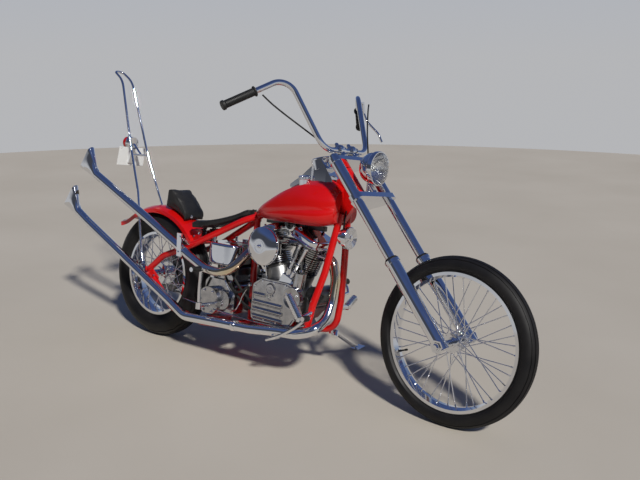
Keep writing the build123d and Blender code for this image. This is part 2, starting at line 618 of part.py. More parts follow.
with BuildPart() as gear_cover:
    with BuildSketch(Plane.XZ.offset(CASE_HALF)) as cover_side:
        Polygon((752, 252), (752, 418), (806, 452), (952, 452), (1010, 438), (1030, 395),
                (1020, 300), (985, 252), align=None)
        fillet(cover_side.vertices(), 22)
    extrude(amount=COVER_OUT - CASE_HALF)
    for rib in range(5):
        side_plate([(760, 268 + 17 * rib), (760, 276 + 17 * rib), (930, 276 + 17 * rib),
                    (930, 268 + 17 * rib)], -COVER_OUT - 4, 1 - COVER_OUT)
    cross_bar(985, 372, 1 - COVER_OUT, -COVER_OUT - 5, 34)
    cross_bar(860, 410, 1 - COVER_OUT, -COVER_OUT - 3, 26)
    rod((1003, -98, 440), (1012, -98, 508), 52)
save(gear_cover.part, "gear_cover")

with BuildPart() as barrels:
    for plane in BANKS:
        bore_cylinder(plane, BARREL_R, BARREL_FOOT, BARREL_TOP)
        bore_cylinder(plane, 64, BARREL_FOOT, BARREL_FOOT + 8)
        for fin in range(FINS):
            low = BARREL_FOOT + 20 + fin * FIN_PITCH * 1.07
            bore_cylinder(plane, FIN_R, low, low + FIN_THICK)
save(barrels.part, "cylinders")

with BuildPart() as heads:
    for plane in BANKS:
        bore_cylinder(plane, 54, BARREL_TOP, HEAD_TOP)
        for fin in range(5):
            low = BARREL_TOP + 4 + fin * 10
            bore_cylinder(plane, HEAD_R, low, low + 3.6)
        with Locations(plane.location * Location((14, -76, HEAD_TOP - 6))):
            Box(76, 50, 12)
        rod(plane.from_local_coords(Vector(0, 0, 315)), plane.from_local_coords(Vector(-66, 0, 315)), 46)
save(heads.part, "cylinder_heads")

with BuildPart() as rocker_covers:
    for plane in BANKS:
        with BuildSketch(plane.offset(HEAD_TOP)) as cover_plan:
            with Locations((-8, -11)):
                Rectangle(COVER_LONG, COVER_WIDE)
            fillet(cover_plan.vertices(), 40)
        extrude(cover_plan.sketch, amount=COVER_TOP - HEAD_TOP)
        lid = rocker_covers.faces().filter_by(Axis(plane.origin, plane.z_dir)).sort_by(
            Axis(plane.origin, plane.z_dir))[-1]
        fillet(lid.edges(), 14)
save(rocker_covers.part, "rocker_covers")

with BuildPart() as pushrod_tubes:
    for plane in BANKS:
        for foot, top in ((-5, -9), (21, 33)):
            low = plane.from_local_coords(Vector(foot, -89, 166))
            high = plane.from_local_coords(Vector(top, -89, HEAD_TOP - 12))
            rod(low, high, 17)
            rod(low, low + (high - low) * 0.22, 24)
        with Locations(plane.location * Location((8, -92, 146))):
            Box(62, 30, 44)
    add(gear_cover.part, mode=Mode.SUBTRACT)
    add(crankcase.part, mode=Mode.SUBTRACT)
    add(heads.part, mode=Mode.SUBTRACT)
save(pushrod_tubes.part, "pushrod_tubes")

AIR = (850, 610)                # air cleaner centre, forward and up
AIR_BACK = 168                  # air cleaner's inner face, out from the middle
with BuildPart() as carburettor:
    rod((812, 0, 628), (928, 0, 628), 40)
    rod((AIR[0], 0, AIR[1]), (AIR[0], -AIR_BACK, AIR[1]), 52)
    rod((AIR[0], -100, 570), (AIR[0], -100, 632), 56)
    add(heads.part, mode=Mode.SUBTRACT)
    add(barrels.part, mode=Mode.SUBTRACT)
save(carburettor.part, "carburettor")

with BuildPart() as air_cleaner:
    with BuildSketch(Plane.XY) as dish:
        with BuildLine():
            Polyline((0, -213), (0, -AIR_BACK), (72, -AIR_BACK), (86, -176), (86, -192))
            ThreePointArc((86, -192), (64, -206), (26, -213))
            Line((26, -213), (0, -213))
        make_face()
    revolve(axis=Axis((0, 0, 0), (0, 1, 0)))
save(air_cleaner.part.translate((AIR[0], 0, AIR[1])), "air_cleaner")

# ---------------------------------------------------------------- exhausts
FRONT_PIPE = ((1040, -14, 591), (1116, -14, 586), (1146, -15, 500), (1146, -24, 400),
              (1152, -62, 322), (1138, -140, 272), (1058, -160, 246), (960, PIPE_Y, 236),
              (786, PIPE_Y, 213), (592, PIPE_Y, 201), (351, PIPE_Y, 184), (250, PIPE_Y, 234),
              (-470, PIPE_Y, 553), (-560, PIPE_Y, 598))
REAR_PIPE = ((706, -42, 597), (686, -62, 575), (672, -122, 518), (638, PIPE_Y, 464),
             (562, PIPE_Y, 438), (462, PIPE_Y, 443), (352, PIPE_Y, 487), (37, PIPE_Y, 625),
             (-330, PIPE_Y, 779), (-418, PIPE_Y, 816))
# side-view ends of each fishtail: top, bottom
FRONT_TAIL = ((-594, 740), (-675, 618))
REAR_TAIL = ((-472, 962), (-549, 840))


def fishtail(start, before, tail):
    """Flare a pipe from round into a tall narrow mouth, and hollow the mouth."""
    start, before = Vector(*start), Vector(*before)
    top, bottom = [Vector(x, PIPE_Y, z) for x, z in tail]
    edge = top - bottom
    end = Plane((top + bottom) / 2, x_dir=edge, z_dir=Vector(edge.Z, 0, -edge.X) * -1)
    with BuildSketch(Plane(start, x_dir=edge, z_dir=start - before)) as neck:
        Circle(PIPE / 2)
    with BuildSketch(end) as mouth:
        SlotOverall(edge.length, PIPE)
    loft([neck.sketch, mouth.sketch])
    with BuildSketch(end) as hollow:
        SlotOverall(edge.length - 6, PIPE - 6)
    with BuildSketch(end.offset(-40)) as throat:
        SlotOverall(edge.length * 0.62, PIPE - 12)
    loft([throat.sketch, hollow.sketch], mode=Mode.SUBTRACT)


with BuildPart() as exhaust_front:
    bent_tube(FRONT_PIPE, PIPE, 110)
    rod((705, PIPE_Y, 208.5), (680, PIPE_Y, 206.5), PIPE + 8)
    rod((692, PIPE_Y, 207), (692, -RAIL_HALF, 200), 16)
    fishtail(FRONT_PIPE[-1], FRONT_PIPE[-2], FRONT_TAIL)
    add(heads.part, mode=Mode.SUBTRACT)
    add(frame_rails.part, mode=Mode.SUBTRACT)
save(exhaust_front.part, "exhaust_front")
with BuildPart() as exhaust_rear:
    bent_tube(REAR_PIPE, PIPE, 150)
    side_plate([(283, 592), (314, 592), (320, 478), (290, 478)], PIPE_Y - 27, PIPE_Y - 18)
    rod((306, PIPE_Y - 20, 575), (306, -RAIL_HALF - 4, 536), 12)
    fishtail(REAR_PIPE[-1], REAR_PIPE[-2], REAR_TAIL)
    add(heads.part, mode=Mode.SUBTRACT)
    add(frame_stays.part, mode=Mode.SUBTRACT)
save(exhaust_rear.part, "exhaust_rear")

# ---------------------------------------------------------------- drive
with BuildPart() as oil_tank:
    with BuildSketch(Plane.XY.offset(465)) as tank_plan:
        with Locations((508, 0)):
            RectangleRounded(200, 236, 70)
        with Locations((560, 0)):
            Rectangle(140, 84, mode=Mode.SUBTRACT)
    extrude(amount=106)
    fillet(oil_tank.faces().sort_by(Axis.Z)[-1].edges(), 12)
    fillet(oil_tank.faces().sort_by(Axis.Z)[0].edges(), 12)
    with Locations((505, 82, 566)):
        Cylinder(20, 18, align=BASE)
    for side in (-1, 1):
        rod((440, side * 82, 560), (440, side * 78, 602), 16)
    add(frame_stays.part, mode=Mode.SUBTRACT)
save(oil_tank.part, "oil_tank")

SPROCKET_X, SPROCKET_Z = GEARBOX[0] - 12, GEARBOX[1] + 6
KICK = (474, 284)
with BuildPart() as gearbox:
    side_plate([(415, 240), (440, 193), (596, 193), (612, 240), (612, 372), (590, 392),
                (430, 392), (412, 372)], -86, 58)
    fillet(gearbox.edges().filter_by(Axis.Y), 10)
    with Locations((512, -14, 392)):
        Box(130, 110, 24, align=BASE)
    for rib in range(6):
        with Locations((462 + 20 * rib, -14, 415)):
            Box(8, 110, 6, align=BASE)
    cross_bar(SPROCKET_X, SPROCKET_Z, 92, 57, 15)
    cross_bar(SPROCKET_X, SPROCKET_Z, CHAIN_Y + 3.5, CHAIN_Y - 3.5, SPROCKET_FRONT)
    cross_bar(KICK[0], KICK[1], -85, -124, 68)
    cross_bar(556, 300, -85, -112, 46)
    for bolt in range(6):
        angle = radians(60 * bolt)
        cross_bar(KICK[0] + 56 * cos(angle), KICK[1] + 56 * sin(angle), -123, -128, 6)
    add(frame_rails.part, mode=Mode.SUBTRACT)
save(gearbox.part, "gearbox")

KICK_SHAFT = (482, 266)
with BuildPart() as kick_starter:
    cross_bar(KICK_SHAFT[0], KICK_SHAFT[1], -124, -200, 9)
    rod((KICK_SHAFT[0], -191, KICK_SHAFT[1] - 16), (KICK_SHAFT[0], -191, KICK_SHAFT[1] + 16), 30)
    bent_tube([(KICK_SHAFT[0], -191, KICK_SHAFT[1] + 10), (479, -193, 340), (484, -196, 440)], 16, 300)
    rod((484, -190, 446), (484, -262, 446), 22)
    add(gearbox.part, mode=Mode.SUBTRACT)
save(kick_starter.part, "kick_starter")

PRIMARY_IN, PRIMARY_OUT = 92, 146
with BuildPart() as primary_cover:
    with BuildSketch(Plane.XZ.offset(-PRIMARY_IN)) as primary_side:
        with Locations(CRANK):
            Circle(90)
        with Locations(CLUTCH):
            Circle(120)
        make_hull()
    extrude(amount=PRIMARY_IN - PRIMARY_OUT)
    fillet(primary_cover.faces().sort_by(Axis.Y)[-1].edges(), 16)
    cross_bar(CLUTCH[0], CLUTCH[1], PRIMARY_OUT + 10, PRIMARY_OUT - 1, 62)
    cross_bar(CRANK[0], CRANK[1], PRIMARY_OUT + 6, PRIMARY_OUT - 1, 34)
save(primary_cover.part, "primary_cover")

CHAIN_THICK, LINKS = 8, 48


def chain_outline(rear_gap, offset):
    """The loop round both sprockets, clear of the one that turns with the wheel."""
    with BuildSketch(Plane.XZ.offset(-CHAIN_Y)) as loop:
        with Locations((0, REAR_AXLE.Z)):
            Circle(SPROCKET_REAR + rear_gap + offset)
        with Locations((SPROCKET_X, SPROCKET_Z)):
            Circle(SPROCKET_FRONT + 0.3 + offset)
        make_hull()
    return loop.sketch


with BuildPart() as drive_chain:
    extrude(chain_outline(CHAIN_GAP, CHAIN_THICK), amount=3, both=True)
    extrude(chain_outline(CHAIN_GAP, 0), amount=3, both=True, mode=Mode.SUBTRACT)
    middle = chain_outline(CHAIN_GAP, CHAIN_THICK / 2).face().outer_wire()
    plates = []
    for link in range(LINKS):
        at, along = middle @ (link / LINKS), middle % (link / LINKS)
        plates.append(Location(Plane(at, x_dir=along, z_dir=(0, 1, 0))))
    with Locations(*plates):
        Box(20, CHAIN_THICK + 2, CHAIN_WIDTH)
    add(gearbox.part, mode=Mode.SUBTRACT)
save(drive_chain.part, "drive_chain")

# ---------------------------------------------------------------- controls, horn and stand
with BuildPart() as foot_controls:
    # right: folded peg, and the brake pedal beside the exhaust
    rod((1100, -112, 350), (1104, -196, 330), 22)
    rod((1104, -196, 318), (1104, -196, 342), 30)
    rod((1102, -200, 334), (1046, -222, 430), 30)
    rod((930, -112, 199), (930, -198, 199), 14)
    bent_tube([(930, -198, 199), (1010, -204, 236), (1096, -208, 290), (1146, -208, 338)], 14, 300)
    rod((1148, -190, 341), (1148, -234, 341), 22)
    # left: peg, and the rocking gear pedal
    rod((1100, 112, 350), (1088, 190, 342), 22)
    rod((1090, 176, 343), (1046, 296, 366), 30)
    rod((1092, 112, 404), (1086, 180, 410), 14)
    bent_tube([(1086, 180, 410), (1060, 205, 436), (1022, 214, 446)], 13, 200)
    rod((1024, 190, 446), (1020, 262, 448), 24)
    add(frame_rails.part, mode=Mode.SUBTRACT)
save(foot_controls.part, "foot_controls")

HORN = (NECK.X - 41, -12, NECK.Z - 162)
with BuildPart() as horn:
    rod((HORN[0] - 46, HORN[1], HORN[2]), (HORN[0] - 16, HORN[1], HORN[2]), 70)
    rod((HORN[0] - 18, HORN[1], HORN[2]), HORN, 100)
    rod((HORN[0] - 80, HORN[1], HORN[2] + 10), (HORN[0] - 40, HORN[1], HORN[2] + 2), 14)
    add(frame_neck.part, mode=Mode.SUBTRACT)
    add(frame_rails.part, mode=Mode.SUBTRACT)
save(horn.part, "horn")

PIVOT = Vector(*STAND_PIVOT)
foot = FLOOR.from_local_coords(Vector(STAND_FOOT[0], STAND_FOOT[1], 0))
down = (foot - PIVOT).normalized()
folded = Vector(-1, 0.035, -0.03).normalized()
# the hinge leans back, so that the parked weight pushes the leg onto its forward stop
hinge = (down.cross(folded).normalized() * cos(radians(STAND_TILT))
         + (down + folded).normalized() * sin(radians(STAND_TILT)))
with BuildPart() as stand_bracket:
    rod((STAND_PIVOT[0], 114, 222), PIVOT - hinge * 15, 14)
    rod(PIVOT - hinge * 22, PIVOT - hinge * 8, 34)
    rod(PIVOT - hinge * 22, PIVOT + hinge * 12, 14)
    add(frame_rails.part, mode=Mode.SUBTRACT)
save(stand_bracket.part, "stand_bracket")

with BuildPart() as side_stand:
    rod(PIVOT - hinge * 7, PIVOT + hinge * 9, 30)
    bent_tube([PIVOT + down * 12, PIVOT + down * ((foot - PIVOT).length - 70),
               foot + FLOOR.z_dir * 14 + Vector(-2, -12, 0)], 20, 120)
    with Locations(FLOOR.location * Location((STAND_FOOT[0], STAND_FOOT[1], 0))):
        Box(46, 66, 10, align=BASE)
    rod(PIVOT - hinge * 23, PIVOT + hinge * 13, 14 + 2 * RUNNING, Mode.SUBTRACT)
save(side_stand.part, "side_stand")

# ---------------------------------------------------------------- cables
CABLE = 7
# each cable's route, end to end: from the handlebar's clamp, or from the neck's foot
THROTTLE_ROUTE = around(CLAMP, ((-206, -350, 199), (-180, -318, 167), (-146, -266, 129),
                                (-104, -200, 85), (-60, -132, 39), (-16, -72, -3)))
CLUTCH_ROUTE = around(CLAMP, ((-120, 316, 235), (-84, 262, 207), (-36, 196, 149),
                              (14, 134, 75), (60, 88, -5), (92, 56, -85), (112, 30, -159)))
HORN_ROUTE = around(NECK, ((-73, -19, -46), (-61, -38, -64), (-57, -48, -88), (-63, -40, -112),
                           (-73, -27, -124)))


def cable(points):
    """Add a cable along its route, with bends as large as the runs allow."""
    bent_tube(points, CABLE, 9999)
    print("cable bend radii", [round(radius) for radius in bends(points, 9999)])


with BuildPart() as throttle_cable:
    cable(THROTTLE_ROUTE)
save(throttle_cable.part, "throttle_cable")
with BuildPart() as clutch_cable:
    cable(CLUTCH_ROUTE)
save(clutch_cable.part, "clutch_cable")
with BuildPart() as horn_lead:
    cable(HORN_ROUTE)
save(horn_lead.part, "horn_lead")
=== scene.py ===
"""The looks of a rigid-frame chopper motorcycle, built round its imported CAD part.

Shapes are drawn upright in millimetres, as the part's source draws them: X forward from the
rear axle, Y to the left, Z up from the floor. PARKED then leans them onto the side stand.
"""

from math import atan2, cos, degrees, pi, radians, sin, tau

import bmesh
import bpy
from mathutils import Matrix, Vector


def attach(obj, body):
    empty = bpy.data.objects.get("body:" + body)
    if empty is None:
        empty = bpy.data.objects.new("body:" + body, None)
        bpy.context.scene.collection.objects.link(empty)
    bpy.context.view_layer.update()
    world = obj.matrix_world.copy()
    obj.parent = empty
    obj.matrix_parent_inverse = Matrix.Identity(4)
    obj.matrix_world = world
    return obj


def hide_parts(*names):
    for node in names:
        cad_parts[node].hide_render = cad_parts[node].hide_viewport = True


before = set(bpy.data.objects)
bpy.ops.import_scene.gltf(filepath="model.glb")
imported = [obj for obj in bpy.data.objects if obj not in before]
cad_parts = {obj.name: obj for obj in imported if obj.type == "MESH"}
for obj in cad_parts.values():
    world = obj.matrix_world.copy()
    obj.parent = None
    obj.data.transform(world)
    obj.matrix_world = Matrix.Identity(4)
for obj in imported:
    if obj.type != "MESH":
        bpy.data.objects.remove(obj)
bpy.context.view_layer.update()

# ---------------------------------------------------------------- dimensions (mm, upright)
LEAN = radians(9.2)
PARKED = (Matrix.Translation((-0.711, -0.196, 0)) @ Matrix.Rotation(-LEAN, 4, "X")
          @ Matrix.Scale(0.001, 4))
ACROSS = Vector((0, 1, 0))
FRONT_AXLE = Vector((1750, 0, 348.55))
REAR_AXLE = Vector((0, 0, 333.82))
CLAMP = Vector((1120.4, 0, 1065.3))             # middle of the handlebar's clamps
LAMP = CLAMP + Vector((180, 0, -60))
CRANK = Vector((870, 0, 330))
AIR = Vector((850, 0, 610))
CLUTCH = Vector((535, 0, 330))
KICK = Vector((474, 0, 284))
HORN = Vector((1200.2, -12, 689.9))
RAKE = radians(41.3)
UP_FORK = Vector((-sin(RAKE), 0, cos(RAKE)))
AHEAD_FORK = Vector((cos(RAKE), 0, sin(RAKE)))
STEERING_FOOT = FRONT_AXLE - AHEAD_FORK * 50


def cos_of(angle):
    """The cosine of an angle in degrees."""
    return cos(radians(angle))


def sin_of(angle):
    """The sine of an angle in degrees."""
    return sin(radians(angle))


def on_fork(x, y, z):
    """A point given ahead of the steering axis, to the left, and up along it."""
    return STEERING_FOOT + AHEAD_FORK * x + ACROSS * y + UP_FORK * z


# ---------------------------------------------------------------- materials
def fill(tree, made, inputs):
    """Give a node's inputs, by name or by number, a value or another node's output."""
    for name, value in inputs.items():
        socket = made.inputs[name if isinstance(name, int) else name.replace("_", " ")]
        if isinstance(value, bpy.types.NodeSocket):
            tree.links.new(value, socket)
        else:
            socket.default_value = value


def node(tree, kind, *ordered, operation=None, **named):
    """A new shader node with its inputs filled."""
    made = tree.nodes.new("ShaderNode" + kind)
    if operation:
        made.operation = operation
    fill(tree, made, {**dict(enumerate(ordered)), **named})
    return made


def new_material(name):
    """A material, its node tree and its shader."""
    material = bpy.data.materials.new(name)
    material.use_nodes = True
    return material, material.node_tree, material.node_tree.nodes["Principled BSDF"]


def noise(tree, scale, detail=4.0, roughness=0.5):
    """A noise texture in the object's own metres."""
    place = node(tree, "TexCoord").outputs["Object"]
    return node(tree, "TexNoise", Vector=place, Scale=scale, Detail=detail,
                Roughness=roughness).outputs["Fac"]


def spread(tree, value, low, high, at=(0.3, 0.7)):
    """The value's middle range, spread between two numbers."""
    return node(tree, "MapRange", Value=value, From_Min=at[0], From_Max=at[1], To_Min=low,
                To_Max=high).outputs["Result"]


def blend(tree, value, first, second):
    """A mix of two colours, or of another node's output and a colour."""
    mix = tree.nodes.new("ShaderNodeMix")
    mix.data_type = "RGBA"
    fill(tree, mix, {"Factor": value, "B": (*second, 1),
                     "A": first if isinstance(first, bpy.types.NodeSocket) else (*first, 1)})
    return mix.outputs["Result"]


def ramp(tree, value, stops):
    """A colour for each value, by (value, colour) stops in rising order."""
    made = node(tree, "ValToRGB", Fac=value)
    elements = made.color_ramp.elements
    for element, (position, colour) in zip(elements, (stops[0], stops[-1])):
        element.position, element.color = position, (*colour, 1)
    for position, colour in stops[1:-1]:
        elements.new(position).color = (*colour, 1)
    return made.outputs["Color"]


def bumped(tree, height, strength, distance, below=None):
    """A normal raised by a height, over another bump if there is one."""
    bump = node(tree, "Bump", Strength=strength, Distance=distance, Height=height)
    if below:
        tree.links.new(below, bump.inputs["Normal"])
    return bump.outputs["Normal"]


def surface(name, colours, metallic=0.0, rough=(0.3, 0.5), cloud=6.0, grain=250.0,
            bump=0.1, depth=0.0004, **sockets):
    """A finish whose colour and gloss drift over the surface, with a fine grain."""
    material, tree, shader = new_material(name)
    drift, fine = noise(tree, cloud), noise(tree, grain, detail=3)
    fill(tree, shader, {"Metallic": metallic, **sockets,
                        "Base_Color": blend(tree, spread(tree, drift, 0, 1), *colours),
                        "Roughness": spread(tree, drift, *rough),
                        "Normal": bumped(tree, fine, bump, depth)})
    return material


def leather(name):
    """Black hide: a fine pebbled grain, shallow creases, and duller, greyer patches."""
    material, tree, shader = new_material(name)
    place = node(tree, "TexCoord").outputs["Object"]
    cells = node(tree, "TexVoronoi", Vector=place, Scale=420).outputs["Distance"]
    creases, drift = noise(tree, 22, detail=6, roughness=0.65), noise(tree, 9)
    grain = bumped(tree, cells, 0.35, 0.0006)
    fill(tree, shader, {"Specular_IOR_Level": 0.3,
                        "Normal": bumped(tree, creases, 0.35, 0.004, grain),
                        "Base_Color": blend(tree, spread(tree, drift, 0, 1),
                                            (0.008, 0.008, 0.009), (0.022, 0.021, 0.02)),
                        "Roughness": spread(tree, creases, 0.36, 0.58)})
    return material


# distance from the port as a share of the heat's reach, and the chrome's colour there
HEAT = ((0.0, (0.42, 0.36, 0.5)), (0.3, (0.72, 0.5, 0.36)), (0.6, (0.84, 0.72, 0.5)),
        (1.0, (0.86, 0.87, 0.89)))


def heated_chrome(name, port, reach):
    """Chrome that the heat near the cylinder's port has turned straw, then violet-blue."""
    material, tree, shader = new_material(name)
    place = node(tree, "TexCoord").outputs["Object"]
    away = node(tree, "VectorMath", place, PARKED @ port, operation="DISTANCE").outputs["Value"]
    near = spread(tree, away, 0, 1, (0.02, reach))
    fill(tree, shader, {"Metallic": 1, "Base_Color": ramp(tree, near, HEAT),
                        "Roughness": spread(tree, noise(tree, 12), 0.03, 0.1)})
    return material


def glass(name, colour, rough, ripple, depth, **sockets):
    """Clear or tinted glass with a moulded ripple."""
    material, tree, shader = new_material(name)
    grain = noise(tree, ripple)
    fill(tree, shader, {"Base_Color": (*colour, 1), "IOR": 1.45, "Coat_Weight": 0.3,
                        "Roughness": spread(tree, grain, *rough),
                        "Normal": bumped(tree, grain, 0.2, depth), **sockets})
    return material


RED = surface("red_gloss", ((0.47, 0.003, 0.003), (0.54, 0.005, 0.004)), rough=(0.3, 0.4),
              grain=700, bump=0.03, depth=0.0001, Specular_IOR_Level=0.1,
              Coat_Weight=0.85, Coat_Roughness=0.02)
CHROME = surface("chrome", ((0.86, 0.87, 0.89), (0.8, 0.81, 0.84)), metallic=1.0,
                 rough=(0.02, 0.06), cloud=14, grain=60, bump=0.01, depth=0.0002)
POLISHED = surface("polished_aluminium", ((0.62, 0.62, 0.63), (0.42, 0.42, 0.43)),
                   metallic=1.0, rough=(0.08, 0.22), cloud=30, grain=900, bump=0.05)
# its dark grey is partly the cast metal's dull tone and partly painted shade, for the engine in the
# shade under the tanks
CAST = surface("cast_aluminium", ((0.34, 0.34, 0.34), (0.20, 0.20, 0.20)), metallic=1.0,
               rough=(0.3, 0.5), cloud=25, grain=1200, bump=0.3, depth=0.0006)
ENAMEL = surface("black_enamel", ((0.012, 0.012, 0.013), (0.02, 0.02, 0.02)),
                 rough=(0.25, 0.4), grain=800, bump=0.12, Coat_Weight=0.4)
STEEL = surface("oiled_steel", ((0.30, 0.29, 0.28), (0.16, 0.15, 0.14)), metallic=1.0,
                rough=(0.28, 0.48), cloud=60, grain=900, bump=0.15)
GLOSS_BLACK = surface("gloss_black", ((0.010, 0.010, 0.011), (0.016, 0.016, 0.017)),
                      rough=(0.16, 0.26), grain=500, bump=0.05, Coat_Weight=0.7)
TREAD = surface("tyre_rubber", ((0.005, 0.005, 0.006), (0.012, 0.011, 0.011)),
                rough=(0.40, 0.62), cloud=9, grain=1500, bump=0.3, depth=0.0004,
                Specular_IOR_Level=0.25)
RUBBER = surface("black_rubber", ((0.010, 0.010, 0.010), (0.018, 0.018, 0.018)),
                 rough=(0.42, 0.6), cloud=40, grain=1500, bump=0.2, Specular_IOR_Level=0.3)
PLATE = surface("blank_plate", ((0.74, 0.75, 0.73), (0.66, 0.67, 0.65)), rough=(0.3, 0.45),
                grain=500, bump=0.1, Coat_Weight=0.3)
DIAL = surface("dial_black", ((0.01, 0.01, 0.01), (0.016, 0.016, 0.016)), rough=(0.5, 0.6))
SOOT = surface("exhaust_soot", ((0.006, 0.005, 0.005), (0.02, 0.017, 0.015)), rough=(0.8, 0.95),
               cloud=50, grain=1500, bump=0.4)
MARKING = surface("dial_white", ((0.8, 0.8, 0.78), (0.72, 0.72, 0.7)), rough=(0.5, 0.6))
LEATHER = leather("black_leather")
CLEAR = glass("clear_glass", (0.97, 0.98, 0.98), (0.0, 0.03), 90, 0.0006,
              Transmission_Weight=1.0)
RED_LENS = glass("red_glass", (0.62, 0.01, 0.012), (0.04, 0.1), 160, 0.0004,
                 Transmission_Weight=0.35)
FRONT_HEAT = heated_chrome("front_pipe_chrome", Vector((1040, -14, 591)), 0.26)
REAR_HEAT = heated_chrome("rear_pipe_chrome", Vector((706, -42, 597)), 0.34)

NODE_FINISHES = {
    RED: "frame_spine frame_rails frame_stays rear_fender fuel_tank_left fuel_tank_right",
    CHROME: "sissy_bar plate_bracket oil_tank rocker_covers pushrod_tubes air_cleaner "
            "kick_starter rear_axle foot_controls horn lower_tree upper_tree fork_tubes "
            "fork_sliders front_axle handlebar front_rim rear_rim side_stand stand_bracket "
            "dash primary_cover",
    FRONT_HEAT: "exhaust_front", REAR_HEAT: "exhaust_rear",
    POLISHED: "gear_cover carburettor gearbox", CAST: "crankcase cylinder_heads",
    ENAMEL: "cylinders generator", STEEL: "rear_sprocket", PLATE: "licence_plate",
    RUBBER: "throttle_cable clutch_cable horn_lead",
}


def dress_nodes():
    """Give each CAD node its finish."""
    for finish, names in NODE_FINISHES.items():
        for name in names.split():
            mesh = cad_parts[name].data
            mesh.materials.clear()
            mesh.materials.append(finish)


# ---------------------------------------------------------------- shapes
def aim(origin, axis, ahead=(1, 0, 0)):
    """A place whose Z runs along an axis."""
    up = Vector(axis).normalized()
    side = up.cross(Vector(ahead))
    if side.length < 0.01:
        side = up.cross(Vector((0, 0, 1)))
    side.normalize()
    place = Matrix((side.cross(up), side, up)).transposed().to_4x4()
    place.translation = Vector(origin)
    return place


def skin(shape, rings, round_and_round):
    """Faces between rings of as many points each; the last ring meets the first one if asked."""
    following = rings[1:] + (rings[:1] if round_and_round else [])
    for here, there in zip(rings, following):
        for first, second, third, fourth in zip(here, here[1:], there[1:], there):
            shape.faces.new((first, second, third, fourth))


def lathe(shape, profile, place, steps=40, whole=False):
    """Turn (out, up) points round a place's Z axis. A profile may depend on the turn's step."""
    rings = []
    for step in range(steps):
        turn = tau * step / steps
        points = profile(step) if callable(profile) else profile
        ring = [shape.verts.new(place @ Vector((out * cos(turn), out * sin(turn), up)))
                for out, up in points]
        rings.append(ring + ring[:1] if whole else ring)
    skin(shape, rings, True)


def tube(shape, points, radius, sides=10, closed=False):
    """A round tube through points, with flat ends unless it is closed."""
    points = [Vector(point) for point in points]
    count = len(points)
    rings, across = [], None
    for index, point in enumerate(points):
        before = points[index - 1] if closed or index else points[index]
        after = points[(index + 1) % count] if closed or index < count - 1 else point
        along = (after - before).normalized()
        if across is None:
            across = along.cross((0, 0, 1) if abs(along.z) < 0.9 else (1, 0, 0))
        across = (across - along * across.dot(along)).normalized()
        other = along.cross(across)
        ring = [shape.verts.new(point + radius * (across * cos(tau * side / sides)
                                                  + other * sin(tau * side / sides)))
                for side in range(sides)]
        rings.append(ring + ring[:1])
    skin(shape, rings, closed)
    if not closed:
        shape.faces.new(rings[0][:-1])
        shape.faces.new(rings[-1][:-1])


def piece(name, shape, finish, *nodes, body="chassis", crease=35):
    """Make a built shape into a piece that rides on a body, and may replace CAD nodes."""
    bmesh.ops.remove_doubles(shape, verts=shape.verts, dist=0.01)
    bmesh.ops.recalc_face_normals(shape, faces=shape.faces)
    mesh = bpy.data.meshes.new(name)
    shape.to_mesh(mesh)
    shape.free()
    mesh.transform(PARKED)
    mesh.shade_smooth()
    mesh.set_sharp_from_angle(angle=radians(crease))
    made = bpy.data.objects.new(name, mesh)
    bpy.context.scene.collection.objects.link(made)
    return settle(made, finish, *nodes, body=body)


def turned(name, finish, profile, place, steps, *nodes, body="chassis", whole=False,
           crease=35):
    """A piece turned from one profile."""
    shape = bmesh.new()
    lathe(shape, profile, place, steps, whole)
    piece(name, shape, finish, *nodes, body=body, crease=crease)


def round_axis(middle, radius, angle, across):
    """A point round a crosswise axis, by its angle in degrees, at a distance to the left."""
    return Vector((middle[0] + radius * cos_of(angle), across,
                   middle[-1] + radius * sin_of(angle)))


def settle(made, finish, *nodes, body="chassis"):
    """Give a piece its finish, the body it rides on and the nodes it replaces."""
    made.data.materials.clear()
    made.data.materials.append(finish)
    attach(made, body)
    if nodes:
        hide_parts(*nodes)
    return made


def curve_points(corners, count):
    """Evenly placed points on a smooth curve through corners."""
    corners = [Vector(corner) for corner in corners]
    padded = [2 * corners[0] - corners[1], *corners, 2 * corners[-1] - corners[-2]]
    points = []
    for index in range(count + 1):
        where = index / count * (len(corners) - 1)
        span = min(int(where), len(corners) - 2)
        t = where - span
        a, b, c, d = padded[span:span + 4]
        points.append(0.5 * (2 * b + (c - a) * t + (2 * a - 5 * b + 4 * c - d) * t ** 2
                             + (3 * b - a - 3 * c + d) * t ** 3))
    return points


# ---------------------------------------------------------------- wheels
CROWN_SHARE = 0.985             # the crown's height against the solid's


def tyre_profile(radius, half, rim_radius, rim_half, grooves, groove, shift):
    """Out and across, from one bead over the crown to the other; grooves in degrees."""
    shoulder, inner = radius - half, rim_half - 4.4
    bead = rim_radius + 4
    wall_foot, wall_top = Vector((bead + 5, inner + 3)), Vector((shoulder, half - 0.3))
    wall = []
    for step in range(9):
        t = step / 8
        swell = 2.2 * sin(pi * t) + (0.9 if step in (3, 4) else 0)
        point = wall_foot.lerp(wall_top, t)
        wall.append((point.x, min(point.y + swell, half - 0.3)))
    side = [(rim_radius - 1, inner), (bead, inner), *wall]
    crown = {}
    for angle in range(80, -81, -4):
        if all(abs(angle - mid) > groove for mid in grooves):
            crown[angle] = 0
    for mid in grooves:
        for offset, depth in ((-groove, 0), (-0.6 * groove, 3.2), (0.6 * groove, 3.2), (groove, 0)):
            crown[mid + offset] = depth
    over = []
    for angle in sorted(crown, reverse=True):
        sway = shift if abs(angle) < 60 else 0
        reach = half * CROWN_SHARE - crown[angle]
        over.append((shoulder + reach * cos_of(angle + sway),
                     reach * sin_of(angle + sway)))
    return side + over + [(out, -up) for out, up in reversed(side)]


